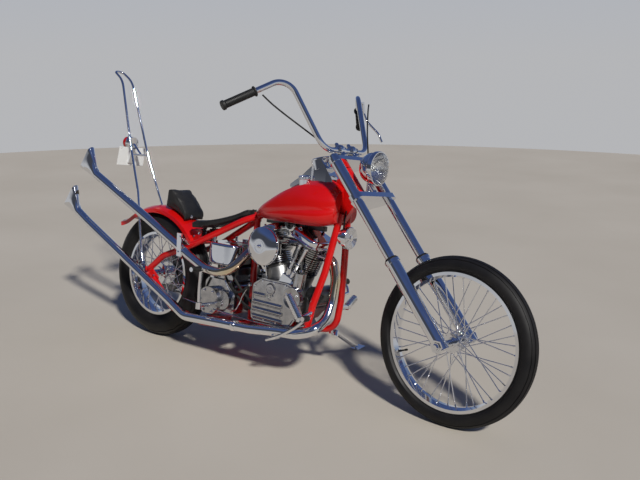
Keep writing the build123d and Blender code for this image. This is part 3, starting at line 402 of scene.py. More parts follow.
def make_tyre(name, body, axle, sizes, grooves, groove, zigzag, replaced):
    """A tyre with grooves round it, whose blocks sway from side to side."""
    blocks = 4
    sway = [zigzag * (abs(step % (2 * blocks) - blocks) / blocks * 2 - 1)
            for step in range(2 * blocks)]
    profiles = [tyre_profile(*sizes, grooves, groove, shift) for shift in sway]
    turned(name, TREAD, lambda step: profiles[step % len(profiles)], aim(axle, ACROSS), 240,
           replaced, body=body, whole=True, crease=40)


SPOKES, SPOKE_SWEEP = 40, 54


def make_spoke_nipples(name, body, axle, rim_radius, flange_radius, flange_out):
    """The little sleeves that hold each cross-laced spoke in the rim."""
    shape = bmesh.new()
    sleeve = ((0, -17), (2.6, -17), (3.3, -14), (3.3, -1), (4.2, 1))
    for hole in range(SPOKES):
        side = 1 if hole % 2 == 0 else -1
        swing = 1 if hole // 2 % 2 == 0 else -1
        at_rim = tau * hole / SPOKES
        at_hub = at_rim + radians(swing * SPOKE_SWEEP)
        out = side * (flange_out + swing * 2.5)
        foot = Vector((flange_radius * cos(at_hub), out, flange_radius * sin(at_hub)))
        tip = Vector(((rim_radius - 19) * cos(at_rim), side * 6, (rim_radius - 19) * sin(at_rim)))
        lathe(shape, sleeve, aim(axle + tip, tip - foot), 8)
    piece(name, shape, CHROME, body=body)


def make_valve(name, body, axle, rim_radius, angle):
    inward = -Vector((cos(angle), 0, sin(angle)))
    stem = ((0, -4), (5, -4), (5, 2), (3.6, 6), (3.6, 22), (4.6, 23), (4.6, 33), (3, 35), (0, 35))
    turned(name, RUBBER, stem, aim(axle - inward * (rim_radius - 20), inward), 16, body=body)


def make_chain():
    """A roller chain round both sprockets: alternate inner and outer plates on rollers."""
    rear, front, reach = 105.5, 48.5, Vector((500, 0, -15.8))
    turn = atan2(reach.z, reach.x)
    spread_angle = pi / 2 + (rear - front) / reach.length * 0.98
    run = (reach.length ** 2 - (rear - front) ** 2) ** 0.5
    wrap_rear = rear * 2 * (pi - (pi - spread_angle))
    wrap_front = front * 2 * (pi - spread_angle)
    whole = 2 * run + wrap_rear + wrap_front
    links = 2 * round(whole / 15.875 / 2)

    def at(distance):
        """A point on the loop, starting where the chain leaves the rear sprocket at the top."""
        top = turn + (pi - spread_angle)
        distance %= whole
        start = REAR_AXLE + rear * Vector((cos(top), 0, sin(top)))
        goal = REAR_AXLE + reach + front * Vector((cos(top), 0, sin(top)))
        if distance < run:
            return start.lerp(goal, distance / run)
        distance -= run
        if distance < wrap_front:
            angle = top - distance / front
            return REAR_AXLE + reach + front * Vector((cos(angle), 0, sin(angle)))
        distance -= wrap_front
        low = top - wrap_front / front
        if distance < run:
            lower = REAR_AXLE + reach + front * Vector((cos(low), 0, sin(low)))
            return lower.lerp(REAR_AXLE + rear * Vector((cos(low), 0, sin(low))), distance / run)
        angle = low - (distance - run) / rear
        return REAR_AXLE + rear * Vector((cos(angle), 0, sin(angle)))

    shape = bmesh.new()
    middle = ACROSS * 80
    for link in range(links):
        here, there = at(whole * link / links), at(whole * (link + 1) / links)
        lathe(shape, ((0, -6), (3.9, -6), (3.9, 6), (0, 6)), aim(here + middle, ACROSS), 10)
        apart = 7.4 if link % 2 else 5.6
        for side in (-1, 1):
            plate_link(shape, here + middle, there + middle, side * apart)
    piece("roller_chain", shape, STEEL, "drive_chain")


def plate_link(shape, here, there, out):
    """One chain plate: two round ends and a waist."""
    along = (there - here).normalized()
    up = along.cross(ACROSS)
    middle, half = (here + there) / 2, (there - here).length / 2
    outline = []
    for end, first in ((1, -75), (-1, 105)):
        for step in range(6):
            angle = radians(first + 30 * step)
            outline.append(middle + along * (end * half + 4.3 * cos(angle))
                           + up * 4.3 * sin(angle))
    faces = []
    for side in (out - 0.8, out + 0.8):
        faces.append([shape.verts.new(point + ACROSS * side) for point in outline])
        shape.faces.new(faces[-1])
    skin(shape, [faces[0] + faces[0][:1], faces[1] + faces[1][:1]], False)


FRONT_SIZES = (348, 42, 281, 33)
REAR_SIZES = (333, 63, 218, 46)
FRONT_GROOVES = (-48, -24, 0, 24, 48)
REAR_GROOVES = (-46, -28, -10, 10, 28, 46)


def make_wheels():
    make_tyre("front_tyre_tread", "front_wheel", FRONT_AXLE, FRONT_SIZES, FRONT_GROOVES, 3.2, 0.8,
              "front_tyre")
    make_tyre("rear_tyre_tread", "rear_wheel", REAR_AXLE, REAR_SIZES, REAR_GROOVES, 2.6, 2.4,
              "rear_tyre")
    make_spoke_nipples("front_nipples", "front_wheel", FRONT_AXLE, 286, 34, 31)
    make_spoke_nipples("rear_nipples", "rear_wheel", REAR_AXLE, 223, 56, 34)
    make_valve("front_valve", "front_wheel", FRONT_AXLE, 281, radians(201))
    make_valve("rear_valve", "rear_wheel", REAR_AXLE, 218, radians(75))
    make_chain()


# ---------------------------------------------------------------- bolts
def bolt_profile(radius, height, domed):
    """A washer and a head, from its seat up."""
    washer = [(0, 0), (radius * 1.5, 0), (radius * 1.5, height * 0.15), (radius, height * 0.15)]
    if domed:
        dome = [(radius * 0.8 * cos_of(angle), height * (0.55 + 0.5 * sin_of(angle)))
                for angle in (0, 30, 60, 90)]
        return washer + [(radius, height * 0.55)] + dome
    return washer + [(radius, height * 0.85), (radius * 0.86, height), (0, height)]


def make_bolts(name, rows, domed=False, finish=CHROME, body="chassis"):
    """Hexagon heads, each by its seat, its direction, its radius and its height."""
    shape = bmesh.new()
    for seat, direction, radius, height in rows:
        lathe(shape, bolt_profile(radius, height, domed), aim(seat, direction), 6)
    piece(name, shape, finish, crease=25, body=body)


def make_screws(name, rows):
    """Slotted round heads, each by its seat, its direction and its radius."""
    shape = bmesh.new()
    for seat, direction, radius in rows:
        place = aim(seat, direction)
        rim = ((0, 0), (radius, 0), (radius, radius * 0.7), (radius * 0.8, radius * 0.9))
        lathe(shape, rim, place, 16)
        for side in (-1, 1):
            half = []
            for step in range(9):
                angle = radians(12 + 19.5 * step)
                across = max(radius * 0.8 * sin(angle), radius * 0.14)
                half.append((radius * 0.8 * cos(angle), side * across))
            level = [shape.verts.new(place @ Vector((*point, radius * 0.9))) for point in half]
            floor = [shape.verts.new(place @ Vector((*point, radius * 0.5))) for point in half]
            shape.faces.new(level)
            skin(shape, [floor + floor[:1], level + level[:1]], False)
        lathe(shape, ((0, radius * 0.5), (radius * 0.8, radius * 0.5)), place, 16)
    piece(name, shape, CHROME, crease=30)


GEAR_FACE = -117                # the gear cover's outer face
GEAR_COVER_SCREWS = ((764, 264), (764, 345), (766, 412), (812, 440), (880, 441), (948, 441),
                     (1006, 424), (1018, 376), (1010, 300), (982, 263), (908, 263), (836, 263))


def bank(lean):
    """A cylinder's own place: Z up its bore, X away from the other cylinder."""
    half_v = radians(22.5)
    up = Vector((lean * sin(half_v), 0, cos(half_v)))
    ahead = Vector((lean * cos(half_v), 0, -sin(half_v)))
    place = Matrix((ahead, up.cross(ahead), up)).transposed().to_4x4()
    place.translation = CRANK
    return place


def make_engine_trim():
    right, left = -ACROSS, ACROSS
    make_screws("gear_cover_screws",
                [((x, GEAR_FACE, z), right, 5.2) for x, z in GEAR_COVER_SCREWS])
    rows = []
    for lean in (1, -1):
        place = bank(lean)
        up = place.to_3x3() @ Vector((0, 0, 1))
        rows += [(place @ Vector((x, y, 377.6)), up, 8, 12)
                 for x, y in ((44, -68), (-58, -68), (-8, 44))]
    make_bolts("rocker_cover_nuts", rows, domed=True)
    make_rocker_flanges()
    make_bolts("barrel_nuts", [
        (bank(lean) @ Vector((57 * cos_of(a), 57 * sin_of(a), 186)),
         bank(lean).to_3x3() @ Vector((0, 0, 1)), 6, 8)
        for lean in (1, -1) for a in (45, 135, 225, 315)], finish=STEEL)
    rim = [(round_axis(CLUTCH, 108, a, 144), left, 5) for a in (100, 140, 180, 220, 260)]
    rim += [(round_axis(CRANK, 79, a, 144), left, 5) for a in (-80, -40, 0, 40, 80)]
    rim += [((702, 144, 330 + side * 93), left, 5) for side in (-1, 1)]
    rim += [(round_axis(CLUTCH, 50, a, 156), left, 4) for a in (18, 90, 162, 234, 306)]
    make_screws("primary_cover_screws", rim)
    shape = bmesh.new()
    collar = ((8.5, 0), (12.5, 0), (13.4, 2), (13.4, 9), (12.5, 11), (8.5, 11))
    for lean in (1, -1):
        place = bank(lean)
        for foot, top in ((-5, -9), (21, 33)):
            low, high = place @ Vector((foot, -89, 166)), place @ Vector((top, -89, 331))
            for share in (0.16, 0.4, 0.93):
                lathe(shape, collar, aim(low.lerp(high, share), high - low), 20, True)
    piece("pushrod_collars", shape, CHROME)
    make_fin_edges()
    make_gear_cover_relief()
    make_air_cleaner_trim()
    make_gearbox_trim()


COVER_MIDDLE, COVER_HALVES, COVER_CORNER = (-8, -11), (80, 89), 40


def rounded_rectangle(middle, halves, corner, steps=8):
    """Points round a rectangle with round corners."""
    points = []
    for quarter, (across, along) in enumerate(((1, 1), (-1, 1), (-1, -1), (1, -1))):
        for step in range(steps + 1):
            angle = radians(90 * quarter + 90 * step / steps)
            points.append((middle[0] + across * (halves[0] - corner) + corner * cos(angle),
                           middle[1] + along * (halves[1] - corner) + corner * sin(angle)))
    return points


def make_rocker_flanges():
    """The rolled rim at the foot of each rocker cover, held by a ring of screws."""
    shape, screws = bmesh.new(), []
    for lean in (1, -1):
        place = bank(lean)
        up = place.to_3x3() @ Vector((0, 0, 1))
        rings = []
        for out, level in ((0, 351), (1.5, 347.5), (6, 346.5), (7, 344), (6, 341.5), (0, 341.5)):
            halves = [half + out for half in COVER_HALVES]
            loop = rounded_rectangle(COVER_MIDDLE, halves, COVER_CORNER + out)
            rings.append([shape.verts.new(place @ Vector((*point, level))) for point in loop])
            rings[-1].append(rings[-1][0])
        skin(shape, rings, False)
        halves = [half + 3.4 for half in COVER_HALVES]
        around = rounded_rectangle(COVER_MIDDLE, halves, COVER_CORNER + 3.4, 2)
        screws += [(place @ Vector((*point, 346.4)), up, 3.2) for point in around]
    piece("rocker_flanges", shape, CHROME)
    make_screws("rocker_flange_screws", screws)


def make_air_cleaner_trim():
    """A rolled rim, a raised ring and a plain domed nut on the bare dish."""
    shape = bmesh.new()
    face = aim(AIR + ACROSS * -213, -ACROSS)
    lathe(shape, ((24, -2.4), (24.8, 0.9), (26.6, 0.9), (27.4, -2.4)), face, 64)
    lathe(shape, ((84, -36), (87, -37), (88.2, -34), (87, -31), (84, -30)), face, 96)
    piece("air_cleaner_rings", shape, CHROME)
    make_bolts("air_cleaner_nut", [(AIR + ACROSS * -213, -ACROSS, 9, 10)],
               domed=True)


# the cooling fins: radius, the lowest one's foot up the bore, pitch, thickness, how many
FINS = ((71, 198, 9.63, 3.2, 9), (74, 289, 10, 3.6, 5))


def make_fin_edges():
    """The bright machined edge of each cooling fin."""
    shape = bmesh.new()
    for lean in (1, -1):
        for radius, foot, pitch, thick, count in FINS:
            for fin in range(count):
                low = foot + pitch * fin
                lathe(shape, ((radius - 4, low - 0.3), (radius + 0.4, low - 0.3),
                              (radius + 0.4, low + thick + 0.3), (radius - 4, low + thick + 0.3)),
                      bank(lean), 48, True)
    piece("fin_edges", shape, POLISHED)


GEAR_CAP = (1000, 394)
# angle, distance out from the cap's middle, height, radius
CAP_BOLTS = ((0, 0, 23, 8), (30, 33, 21, 4), (150, 33, 21, 4), (270, 33, 21, 4))


def make_gear_cover_relief():
    """Rolled ribs across the cover's foot, stepped bosses above them, and a raised rim."""
    shape = bmesh.new()
    for rib, end in enumerate((940, 940, 936, 832)):
        level = 272 + 34 * rib
        tube(shape, [(x, GEAR_FACE + 1, level) for x in (766, 784, end - 18, end)], 9.5, 16)
    tube(shape, [(x, GEAR_FACE - 0.5, z) for x, z in GEAR_COVER_RIM], 2.6, 8, True)
    for (x, z), radius, height in ((GEAR_CAP, 50, 20), ((860, 410), 26, 3), ((862, 376), 17, 0)):
        steps = ((0, height + 3.5), (radius * 0.3, height + 3.5), (radius * 0.36, height + 1.2),
                 (radius * 0.78, height + 1.2), (radius * 0.84, height + 2.6),
                 (radius + 0.6, height + 1.6), (radius + 2.4, 0))
        lathe(shape, steps, aim((x, GEAR_FACE, z), -ACROSS), 48)
    piece("gear_cover_relief", shape, POLISHED)
    make_bolts("boss_bolts",
               [(round_axis(GEAR_CAP, out, a, GEAR_FACE - up), -ACROSS, radius, 6)
                for a, out, up, radius in CAP_BOLTS], domed=True)


GEAR_COVER_RIM = ((758, 262), (757, 408), (806, 444), (950, 444), (1000, 430), (1022, 394),
                  (1012, 304), (981, 259), (770, 259))
# black hoses, by the points that they bend through
HOSES = (
    ((560, -92, 476), (590, -88, 430), (640, -84, 372), (700, -80, 330), (748, -84, 306)),
    ((520, -96, 470), (548, -98, 412), (618, -96, 350), (690, -92, 296), (746, -88, 282)),
    ((600, -60, 500), (636, -64, 520), (690, -70, 540), (730, -74, 520), (770, -78, 470)),
    ((1012, -98, 506), (1004, -88, 560), (975, -70, 610), (950, -52, 648)),
    ((456, -104, 470), (436, -120, 430), (410, -122, 380), (396, -108, 330), (408, -92, 290)),
    ((586, -96, 398), (612, -112, 366), (648, -114, 352), (690, -104, 372), (716, -92, 410)),
)
# thin chrome lines by the engine; the third is the brake's rod, along the frame
LINES = (
    ((806, -84, 446), (800, -96, 500), (788, -100, 560), (772, -96, 618)),
    ((936, -84, 450), (950, -102, 500), (968, -106, 560), (984, -98, 610)),
    ((1120, -176, 300), (1000, -128, 252), (700, -122, 236), (300, -122, 262)),
    ((604, -92, 250), (640, -104, 262), (668, -108, 300), (676, -100, 350), (700, -88, 392)),
    ((566, -100, 470), (560, -112, 430), (572, -118, 392), (600, -108, 352)),
)
HOSE_R, LINE_R = 6.5, 3.4


def flexible(name, routes, radius, finish):
    """Hoses or lines, each a smooth spline with its route's points as control points."""
    curve = bpy.data.curves.new(name, "CURVE")
    curve.dimensions = "3D"
    curve.bevel_depth, curve.bevel_resolution = radius, 3
    curve.use_fill_caps = True
    for route in routes:
        spline = curve.splines.new("NURBS")
        spline.points.add(len(route) - 1)
        for point, place in zip(spline.points, route):
            point.co = (*place, 1)
        spline.order_u = 3
        spline.use_endpoint_u = True
        spline.resolution_u = 8
    holder = bpy.data.objects.new(name, curve)
    shape = bmesh.new()
    shape.from_mesh(bpy.data.meshes.new_from_object(holder))
    bpy.data.objects.remove(holder)
    piece(name, shape, finish)


def make_plumbing():
    """The hoses with their clamps, and the lines, beside the engine and the oil tank."""
    flexible("oil_hoses", HOSES, HOSE_R, RUBBER)
    flexible("oil_lines", LINES, LINE_R, CHROME)
    shape = bmesh.new()
    for route in HOSES:
        for end, inner in ((route[0], route[1]), (route[-1], route[-2])):
            lathe(shape, ((6.4, 6), (8.8, 6), (8.8, 15), (6.4, 15)),
                  aim(end, Vector(inner) - Vector(end)), 16, True)
    piece("hose_clamps", shape, CHROME)


def stack(shape, middle, levels, corner, steps):
    """A block through rounded rectangles, each by its level and half sizes, one over another."""
    rings = [[shape.verts.new((*point, level))
              for point in rounded_rectangle(middle, halves, corner, steps)]
             for level, halves in levels]
    shape.faces.new(rings[0])
    shape.faces.new(rings[-1])
    skin(shape, [ring + ring[:1] for ring in rings], False)


def box_between(shape, middle, halves, low, high, corner=8):
    """A block with rounded upright corners and a small bevel at its top and bottom."""
    inner = [half - 2 for half in halves]
    stack(shape, middle, ((low, inner), (low + 2, halves), (high - 2, halves), (high, inner)),
          corner, 4)


def make_battery():
    """The battery in the oil tank's hollow, and the tray under both."""
    shape = bmesh.new()
    stack(shape, (545, 0), ((472, (44, 34)), (474, (46, 36)), (566, (46, 36)), (570, (43, 33))),
          8, 3)
    piece("battery", shape, ENAMEL)
    shape = bmesh.new()
    box_between(shape, (548, 0), (70, 84), 428, 464)
    box_between(shape, (548, 0), (16, 60), 412, 429, 4)
    piece("battery_tray", shape, ENAMEL)


COIL = (876, 0, 712)


def make_coil():
    """The ignition coil on its mount and the wiring trough, under the tanks. Their black also
    stands in for the shade under the tanks: painted shade.
    """
    # painted shade: the coil's gloss black also darkens the shaded space under the tanks
    turned("ignition_coil", GLOSS_BLACK,
           ((0, -64), (20, -64), (24, -60), (24, 44), (19, 50), (10, 54), (10, 66), (0, 66)),
           aim(COIL, -ACROSS), 32)
    shape = bmesh.new()
    for across in (-38, 38):
        lathe(shape, ((24.2, -6), (27, -6), (27, 6), (24.2, 6)),
              aim(Vector(COIL) + ACROSS * across, ACROSS), 32, True)
    box_between(shape, (838, 0), (34, 30), 690, 696, 4)
    piece("coil_mount", shape, CHROME)
    # painted shade: this black box for the wiring also darkens the shaded space under the tanks
    shape = bmesh.new()
    box_between(shape, (880, 0), (173, 15), 699, 722, 6)
    piece("wiring_trough_and_painted_shade", shape, ENAMEL)


def make_gearbox_trim():
    """Nuts round the kick starter's shaft and on the gearbox's top, and the pedal's rubber."""
    rows = [(round_axis(KICK, 56, a, -128), -ACROSS, 5, 5) for a in range(0, 360, 60)]
    rows += [((512 + x, -14 + y, 416), (0, 0, 1), 5, 6) for x in (-56, 56) for y in (-44, 44)]
    make_bolts("gearbox_bolts", rows, domed=True)
    turned("kick_pedal_rubber", RUBBER, ribbed_sleeve(11.2, 13.4, 58, 7),
           aim((484, -260, 446), ACROSS), 24)


# ---------------------------------------------------------------- rubber and levers
def ribbed_sleeve(inner, outer, length, ribs):
    """A closed sleeve's profile with raised ribs along it."""
    profile = [(inner, 0), (outer, 0)]
    pitch = (length - 4) / ribs
    for rib in range(ribs):
        start = 2 + rib * pitch
        profile += [(outer, start), (outer, start + pitch * 0.55),
                    (outer - 1.6, start + pitch * 0.66), (outer - 1.6, start + pitch * 0.9)]
    return profile + [(outer, length - 1), (outer - 1, length), (inner, length), (inner, 0)]


SLEEVES = (
    # name, finish, start, end, bar radius, outer radius, ribs
    ("right_peg_sleeve", CHROME, (1101, -200.5, 336), (1046, -222, 430), 15, 17.6, 14),
    ("left_peg_sleeve", CHROME, (1084, 190, 346), (1046, 296, 366), 15, 17.6, 14),
    ("gear_pedal_rubber", RUBBER, (1023, 206, 446.5), (1020, 262, 448), 12, 14.5, 8),
    ("brake_pedal_rubber", RUBBER, (1148, -196, 341), (1148, -234, 341), 11, 13.5, 5),
)


def make_grips():
    shape = bmesh.new()
    for side in (-1, 1):
        end = CLAMP + Vector((-283, side * 495, 137))
        bend = CLAMP + Vector((-155, side * 258, 287))
        inward = (bend - end).normalized()
        profile = [(0, -8), (19, -8), (21, -5), (21, 4), (17.6, 6)]
        for rib in range(20):
            start = 9 + rib * 6.6
            profile += [(15.8, start), (17.2, start + 1), (17.2, start + 4), (15.8, start + 5)]
        profile += [(17.6, 143), (22.6, 145), (22.8, 149), (21.5, 150), (12.8, 150)]
        lathe(shape, profile, aim(end, inward), 40)
    piece("rubber_grips", shape, RUBBER, "grips", crease=50, body="steering")


def make_sleeves():
    for name, finish, start, end, bar, outer, ribs in SLEEVES:
        start, end = Vector(start), Vector(end)
        profile = ribbed_sleeve(bar + 0.1, outer, (end - start).length, ribs)
        turned(name, finish, profile, aim(start, end - start), 28)


# ---------------------------------------------------------------- lamps, dial, horn, plate
def make_headlamp():
    forward = aim(LAMP, (1, 0, 0), (0, 0, 1))
    shape = bmesh.new()
    bowl = [(0, -82), (14, -82)]
    bowl += [(14 + 55 * sin_of(a), -82 + 60 * (1 - cos_of(a)))
             for a in range(10, 91, 10)]
    rim = [(69.5, -18), (74, -13), (74, 4), (72.5, 6.5), (69, 7), (67.5, 4)]
    mirror = [(12 + 55.5 * (t / 10) ** 0.5, -50 + 52 * t / 10) for t in range(10, -1, -1)]
    lathe(shape, bowl + rim + mirror + [(0, -50)], forward, 96)
    stalk = Vector((LAMP.x - 38, 0, LAMP.z - 105))
    lathe(shape, ((0, 0), (12, 0), (12, 46), (0, 46)), aim(stalk, (0, 0, 1)), 24)
    lathe(shape, ((0, 0), (19, 0), (19, 3), (12, 5)), aim(stalk, (0, 0, 1)), 32)
    piece("headlamp_shell", shape, CHROME, "headlamp", body="steering")
    front = [(68.5 * cos_of(a), 5 + 14 * sin_of(a) ** 0.9) for a in range(0, 91, 6)]
    back = [(66 * cos_of(a), 3 + 12.5 * sin_of(a) ** 0.9) for a in range(90, -1, -6)]
    flutes = [0.35 * cos(tau * step / 6) for step in range(6)]
    turned("headlamp_glass", CLEAR,
           lambda step: front + [(out, up + flutes[step % 6] * (out > 8)) for out, up in back],
           forward, 144, "headlamp_lens", body="steering", whole=True)
    turned("headlamp_bulb", MARKING,
           ((0, -50), (9, -50), (9, -40), (11, -34), (11, -24), (7, -17), (0, -15)), forward, 32,
           body="steering")


RISER_X, RISER_Y, BAR_Z = 50, 45, 954          # a riser's place on the fork
LEG_Y = 124                                     # a fork leg from the middle


def make_risers():
    """The bar's two risers: a flared foot, a round clamp over the bar, and a domed nut."""
    shape = bmesh.new()
    outline = ((0, -34), (21, -34), (21.5, -28), (17, -20), (16.5, -12), (23, -4), (25, 4),
               (24, 13), (18, 21), (10.5, 24), (10.5, 29), (9.5, 30.5), (9.5, 37), (6, 41), (0, 42))
    for side in (-1, 1):
        lathe(shape, outline, aim(on_fork(RISER_X, side * RISER_Y, BAR_Z), UP_FORK), 32)
    piece("bar_risers", shape, CHROME, body="steering")


def make_dial():
    """The speedometer on the tank console: bezel, black face with ticks, needle and glass."""
    low, high = Vector((1010, 0, 975)), Vector((996, 0, 1020))
    top = aim(high, high - low, (0, 1, 0))
    bezel = ((44, -2), (52.4, -4), (52.8, 1), (50, 4.5), (46, 4.5), (44, 1.5))
    turned("dial_bezel", CHROME, bezel, top, 72, whole=True)
    turned("dial_face", DIAL, ((0, 0.6), (45, 0.6), (45, -1)), top, 64)
    shape = bmesh.new()
    for tick in range(25):
        angle = radians(-30 + 10 * tick)
        inner, wide = (33, 0.8) if tick % 4 == 0 else (37, 0.4)
        ray = Vector((cos(angle), sin(angle), 0))
        side = Vector((-ray.y, ray.x, 0)) * wide
        corners = [ray * inner - side, ray * 41 - side * 1.3, ray * 41 + side * 1.3,
                   ray * inner + side]
        shape.faces.new([shape.verts.new(top @ (corner + Vector((0, 0, 0.8))))
                         for corner in corners])
    ray = Vector((cos_of(-30), sin_of(-30), 0))
    side = Vector((-ray.y, ray.x, 0))
    needle = [ray * -8 - side * 1.5, ray * 34, ray * -8 + side * 1.5]
    shape.faces.new([shape.verts.new(top @ (corner + Vector((0, 0, 1.4)))) for corner in needle])
    lathe(shape, ((0, 2), (4, 2), (4, 0.8)), top, 20)
    piece("dial_marks", shape, MARKING)
    dome = [(45.5 * cos_of(a), 2.4 + 3 * sin_of(a)) for a in range(0, 91, 10)]
    under = [(45 * cos_of(a), 1.6 + 2.6 * sin_of(a)) for a in range(90, -1, -10)]
    turned("dial_glass", CLEAR, dome + under, top, 64, whole=True)


def make_filler_caps():
    """Two domed caps with a fluted edge."""
    shape = bmesh.new()
    for side in (-1, 1):
        foot, top = Vector((957, side * 62, 890)), Vector((955, side * 66, 938))

        def fluted(step):
            out = 27.5 - (1.3 if step % 4 == 0 else 0)
            return ((21, 2), (24, 2), (24, 34), (out, 36), (out, 48), (out - 2, 50.5),
                    (20, 52.5), (11, 53.8), (0, 54))

        lathe(shape, fluted, aim(foot, top - foot), 96)
    piece("cap_domes", shape, CHROME, "filler_caps")
    turned("oil_cap_rim", CHROME,
           lambda step: ((0, 10), (19.4, 10), (20.6 if step % 3 else 19.6, 12),
                         (20.6 if step % 3 else 19.6, 17), (18, 18.6), (0, 19)),
           aim((505, 82, 566), (0, 0, 1)), 72)


def make_tail():
    """The tail lamp's lens and bezel, and the plate's rim and bolts."""
    back = aim((-366, 0, 1006), (-1, 0, 0), (0, 0, 1))
    rings = [(33 * cos_of(a), 3 + 12.5 * sin_of(a) + (0.7 if a // 6 % 2 else 0))
             for a in range(0, 91, 3)]
    turned("tail_lens", RED_LENS,
           [(0, 0.2), (32.2, 0.2), (32.2, -17), (33.4, -17), (33.4, 1), *rings], back, 72,
           "tail_lamp_lens")
    turned("tail_bezel", CHROME,
           ((32.2, -23), (34, -22), (34.6, -19), (34, -17.2), (32.2, -17.2)), back, 72, whole=True)
    face = Matrix(((0, -4, -25), (25.318, 0, 0), (0, -25, 4))).to_4x4()
    for column in range(3):
        face.col[column].normalize()
    face.translation = Vector((-331, 0, 932))
    shape = bmesh.new()
    corners = ((-87, -47.6), (87, -47.6), (87, 47.6), (-87, 47.6))
    loop = []
    for x, y in corners:
        centre = Vector((x - 8 * (1 if x > 0 else -1), y - 8 * (1 if y > 0 else -1), 1.2))
        start = degrees(atan2(y, x)) // 90 * 90
        loop += [face @ (centre + 8 * Vector((cos_of(start + a), sin_of(start + a), 0)))
                 for a in range(0, 91, 18)]
    tube(shape, loop, 1.1, 8, True)
    piece("plate_rim", shape, PLATE)
    out = face.to_3x3() @ Vector((0, 0, 1))
    make_bolts("plate_bolts",
               [(face @ Vector((x, -40, 1)), out, 5.5, 4) for x in (-73, 73)], domed=True)


def make_horn():
    """Concentric slots and a middle cap on the horn's face."""
    profile = [(50.4, -16), (50.4, 0), (48, 3)]
    for ring in range(5):
        out = 44 - ring * 6
        profile += [(out + 1.6, 3), (out, 0.6), (out - 1.6, 0.6), (out - 2.6, 3)]
    profile += [(14, 3.5), (12, 7), (6, 8.6), (0, 9)]
    turned("horn_grille", CHROME, profile, aim(HORN, (1, 0, 0), (0, 0, 1)), 72)


# ---------------------------------------------------------------- seat, pad and springs
def swollen(name, node, shrink, cap, rounding, voxel=0.005):
    """A padded copy of a CAD solid: remeshed, rounded, shrunk, blown up as cloth, and capped."""
    made = bpy.data.objects.new(name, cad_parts[node].data.copy())
    bpy.context.scene.collection.objects.link(made)
    remesh = made.modifiers.new("even", "REMESH")
    remesh.voxel_size = voxel
    soften = made.modifiers.new("soften", "SMOOTH")
    soften.factor, soften.iterations = 0.5, rounding
    baked(made)
    for vertex, normal in zip(made.data.vertices, [v.normal.copy() for v in made.data.vertices]):
        vertex.co -= normal * shrink
    before = [vertex.co.copy() for vertex in made.data.vertices]
    cloth = made.modifiers.new("pressure", "CLOTH")
    cloth.settings.use_pressure = True
    cloth.settings.uniform_pressure_force = 4
    cloth.settings.effector_weights.gravity = 0
    for step in range(1, 21):
        bpy.context.scene.frame_set(step)
    baked(made)
    bpy.context.scene.frame_set(1)
    for vertex, start in zip(made.data.vertices, before):
        moved = vertex.co - start
        if moved.length > cap:
            vertex.co = start + moved.normalized() * cap
    smooth = made.modifiers.new("smooth", "SUBSURF")
    smooth.levels = smooth.render_levels = 1
    baked(made)
    made.data.shade_smooth()
    return made


def baked(made):
    """Apply an object's modifiers to its own mesh."""
    view = bpy.context.evaluated_depsgraph_get()
    result = bpy.data.meshes.new_from_object(made.evaluated_get(view))
    made.modifiers.clear()
    made.data = result


SEAT_EDGE = ((272, 0, 652), (284, 70, 653), (302, 114, 655), (360, 114, 664), (420, 112, 678),
             (492, 80, 700), (560, 50, 732), (600, 28, 752), (616, 0, 758))
PAD_EDGE = ((46, 700), (60, 770), (70, 790), (92, 792), (152, 744), (200, 690), (208, 660))
PAD_HALF = 73


def resting_on(made, points, sink):
    """Upright points moved to the nearest place on a piece, sunk a little into it."""
    settled = []
    for point in points:
        found, place, normal, face = made.closest_point_on_mesh(PARKED @ point)
        settled.append(PARKED.inverted() @ (place - normal * sink))
    return settled


def make_seat():
    seat = swollen("seat_leather", "seat", 0.004, 0.006, 4)
    settle(seat, LEATHER, "seat")
    pad = swollen("pillion_leather", "pillion_pad", 0.005, 0.0075, 24)
    settle(pad, LEATHER, "pillion_pad")
    shape = bmesh.new()
    half = curve_points(SEAT_EDGE, 60)
    loop = half + [Vector((p.x, -p.y, p.z)) for p in reversed(half[1:-1])]
    tube(shape, resting_on(seat, loop, 0.0012), 2.8, 8, True)
    for side in (-1, 1):
        edge = curve_points([(x, side * PAD_HALF, z) for x, z in PAD_EDGE], 50)
        tube(shape, resting_on(pad, edge, 0.001), 2.8, 8)
    piece("welt_piping", shape, LEATHER)
    front = resting_on(pad, [Vector((216, -24, 664))], 0.001)[0]
    make_bolts("pad_stud", [(front, (1, 0, 0.2), 6, 5)], domed=True)
    make_springs()


def make_springs():
    """Two open coil springs under the seat, each on its bolt."""
    shape = bmesh.new()
    foot, top, turns, steps = 557, 619, 5.5, 26
    for side in (-1, 1):
        middle = Vector((313, side * 33, 0))
        count = int(turns * steps)
        coil = [middle + Vector((14.5 * cos(tau * i / steps), 14.5 * sin(tau * i / steps),
                                 foot + (top - foot) * i / count)) for i in range(count + 1)]
        tube(shape, coil, 3.1, 10)
        lathe(shape, ((0, 553), (19, 553), (19, 556), (5, 556), (5, 620), (19, 620), (19, 623),
                      (0, 623)), Matrix.Translation(middle), 28)
    piece("coil_springs", shape, GLOSS_BLACK, "seat_springs")


# ---------------------------------------------------------------- frame and fork trim
def make_frame_bolts():
    """Bolts at the rear axle, brackets and mounts."""
    rows = []
    for side in (-1, 1):
        out = ACROSS * side
        rows += [((x, side * y, z), out, radius, height) for x, y, z, radius, height in (
            (0, 126, REAR_AXLE.z, 16, 13), (-26, 124.5, 384, 6, 6), (60, 118, 336, 6, 5),
            (312, 61, 590, 5, 5), (275, 61, 572, 5, 5), (720, 50, 232, 6, 6),
            (1000, 62, 300, 6, 6))]
    make_bolts("frame_bolts", rows)


